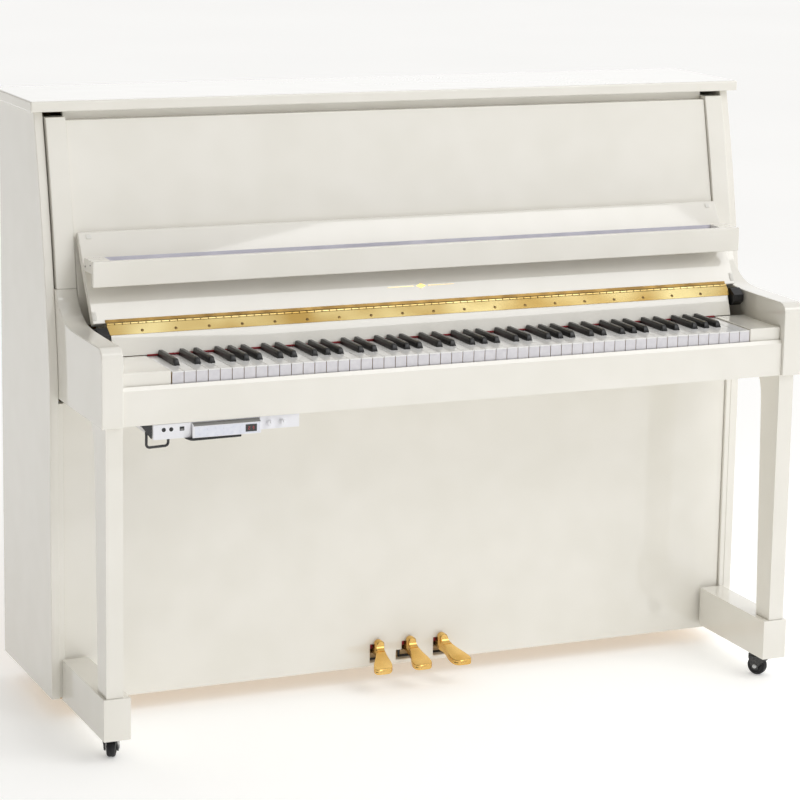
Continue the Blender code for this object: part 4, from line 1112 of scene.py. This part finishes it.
# ---- studio ----
studio = {"skyFront": 0.90, "skyBack": 1.08, "skyLeft": 0.12, "floorReach": 40.0, "floorGlow": 0.30}
sheet = bmesh.new()
bmesh.ops.create_grid(sheet, x_segments=8, y_segments=8, size=studio["floorReach"])
floorMesh = bpy.data.meshes.new("studio floor")
sheet.to_mesh(floorMesh)
sheet.free()
studioFloor = bpy.data.objects.new("studio_floor", floorMesh)
bpy.context.scene.collection.objects.link(studioFloor)
# a little light of its own keeps the floor as clean as the wall
floorPaint = newMaterial("matt white studio floor", {
    "Roughness": 0.75, "Specular IOR Level": 0.2,
    "Emission Color": (1.0, 1.0, 1.0, 1.0), "Emission Strength": studio["floorGlow"]})
spot = addNode(floorPaint, "ShaderNodeTexCoord").outputs["Object"]
cloud = addNode(floorPaint, "ShaderNodeTexNoise", {"Vector": spot, "Scale": 0.7, "Detail": 1.0})
tone = setStops(addNode(floorPaint, "ShaderNodeValToRGB", {"Fac": cloud.outputs["Fac"]}),
                [(0.3, "#F6F6F5"), (0.7, "#F9F9F8")])
wire(floorPaint, colour=tone.outputs["Color"])
floorMesh.materials.append(floorPaint)

world = bpy.data.worlds.new("even studio white")
bpy.context.scene.world = world
world.use_nodes = True
# the wall behind is lit to clean white, the left of the room falls off
compass = addNode(world, "ShaderNodeTexCoord").outputs["Generated"]
axes = addNode(world, "ShaderNodeSeparateXYZ", {"Vector": compass})
behind = addNode(world, "ShaderNodeMapRange", {"Value": axes.outputs["Y"], "From Min": 0.0, "From Max": 0.7,
                                              "To Min": studio["skyFront"], "To Max": studio["skyBack"]})
leftward = addNode(world, "ShaderNodeMapRange",
                   {"Value": axes.outputs["X"], "From Min": -0.8, "From Max": 0.3,
                    "To Min": studio["skyLeft"] / studio["skyFront"], "To Max": 1.0})
sky = addNode(world, "ShaderNodeMath", {0: behind.outputs["Result"], 1: leftward.outputs["Result"]},
              operation="MULTIPLY")
warmth = addNode(world, "ShaderNodeMapRange", {"Value": axes.outputs["X"], "From Min": -0.9, "From Max": 0.0})
tint = setStops(addNode(world, "ShaderNodeValToRGB", {"Fac": warmth.outputs["Result"]}),
                [(0.0, "#FFF4DE"), (1.0, "#FFFFFF")])
world.node_tree.links.new(tint.outputs["Color"], world.node_tree.nodes["Background"].inputs["Color"])
world.node_tree.links.new(sky.outputs["Value"], world.node_tree.nodes["Background"].inputs["Strength"])

softboxes = {
    "overhead softbox": {"at": (0.2, 0.4, 4.4), "aim": (0.0, 0.1, 1.0), "size": 3.4, "power": 4},
    "front softbox": {"at": (1.9, -2.9, 3.8), "aim": (0.0, -0.1, 0.8), "size": 2.4, "power": 46},
}
for name, box in softboxes.items():
    light = bpy.data.lights.new(name, "AREA")
    light.shape = "SQUARE"
    light.size = box["size"]
    light.energy = box["power"]
    lamp = bpy.data.objects.new(name, light)
    lamp.location = box["at"]
    lamp.rotation_euler = (Vector(box["aim"]) - Vector(box["at"])).to_track_quat("-Z", "Y").to_euler()
    bpy.context.scene.collection.objects.link(lamp)

# the camera stands to the left of the keyboard, a little above the lid
view = {"at": (-2.2349, -5.0318, 1.8091), "yaw": 23.809, "pitch": -10.877, "roll": 0.989, "lens": 124.66,
        "drop": -0.1}
yaw, pitch, roll = (math.radians(view[key]) for key in ("yaw", "pitch", "roll"))
ahead = Vector((math.sin(yaw) * math.cos(pitch), math.cos(yaw) * math.cos(pitch), math.sin(pitch)))
level = Vector((math.cos(yaw), -math.sin(yaw), 0.0))
upright = level.cross(ahead)
right = level * math.cos(roll) + upright * math.sin(roll)
up = upright * math.cos(roll) - level * math.sin(roll)
camera = bpy.data.objects.new("studio camera", bpy.data.cameras.new("studio camera"))
camera.data.lens = view["lens"]
camera.data.sensor_width = 36.0
camera.data.shift_y = view["drop"]
camera.data.clip_end = 100.0
turn = Matrix((right, up, -ahead)).transposed().to_4x4()
camera.matrix_world = Matrix.Translation(view["at"]) @ turn
bpy.context.scene.collection.objects.link(camera)
bpy.context.scene.camera = camera
bpy.context.scene.view_settings.view_transform = "Standard"
print("studio set")
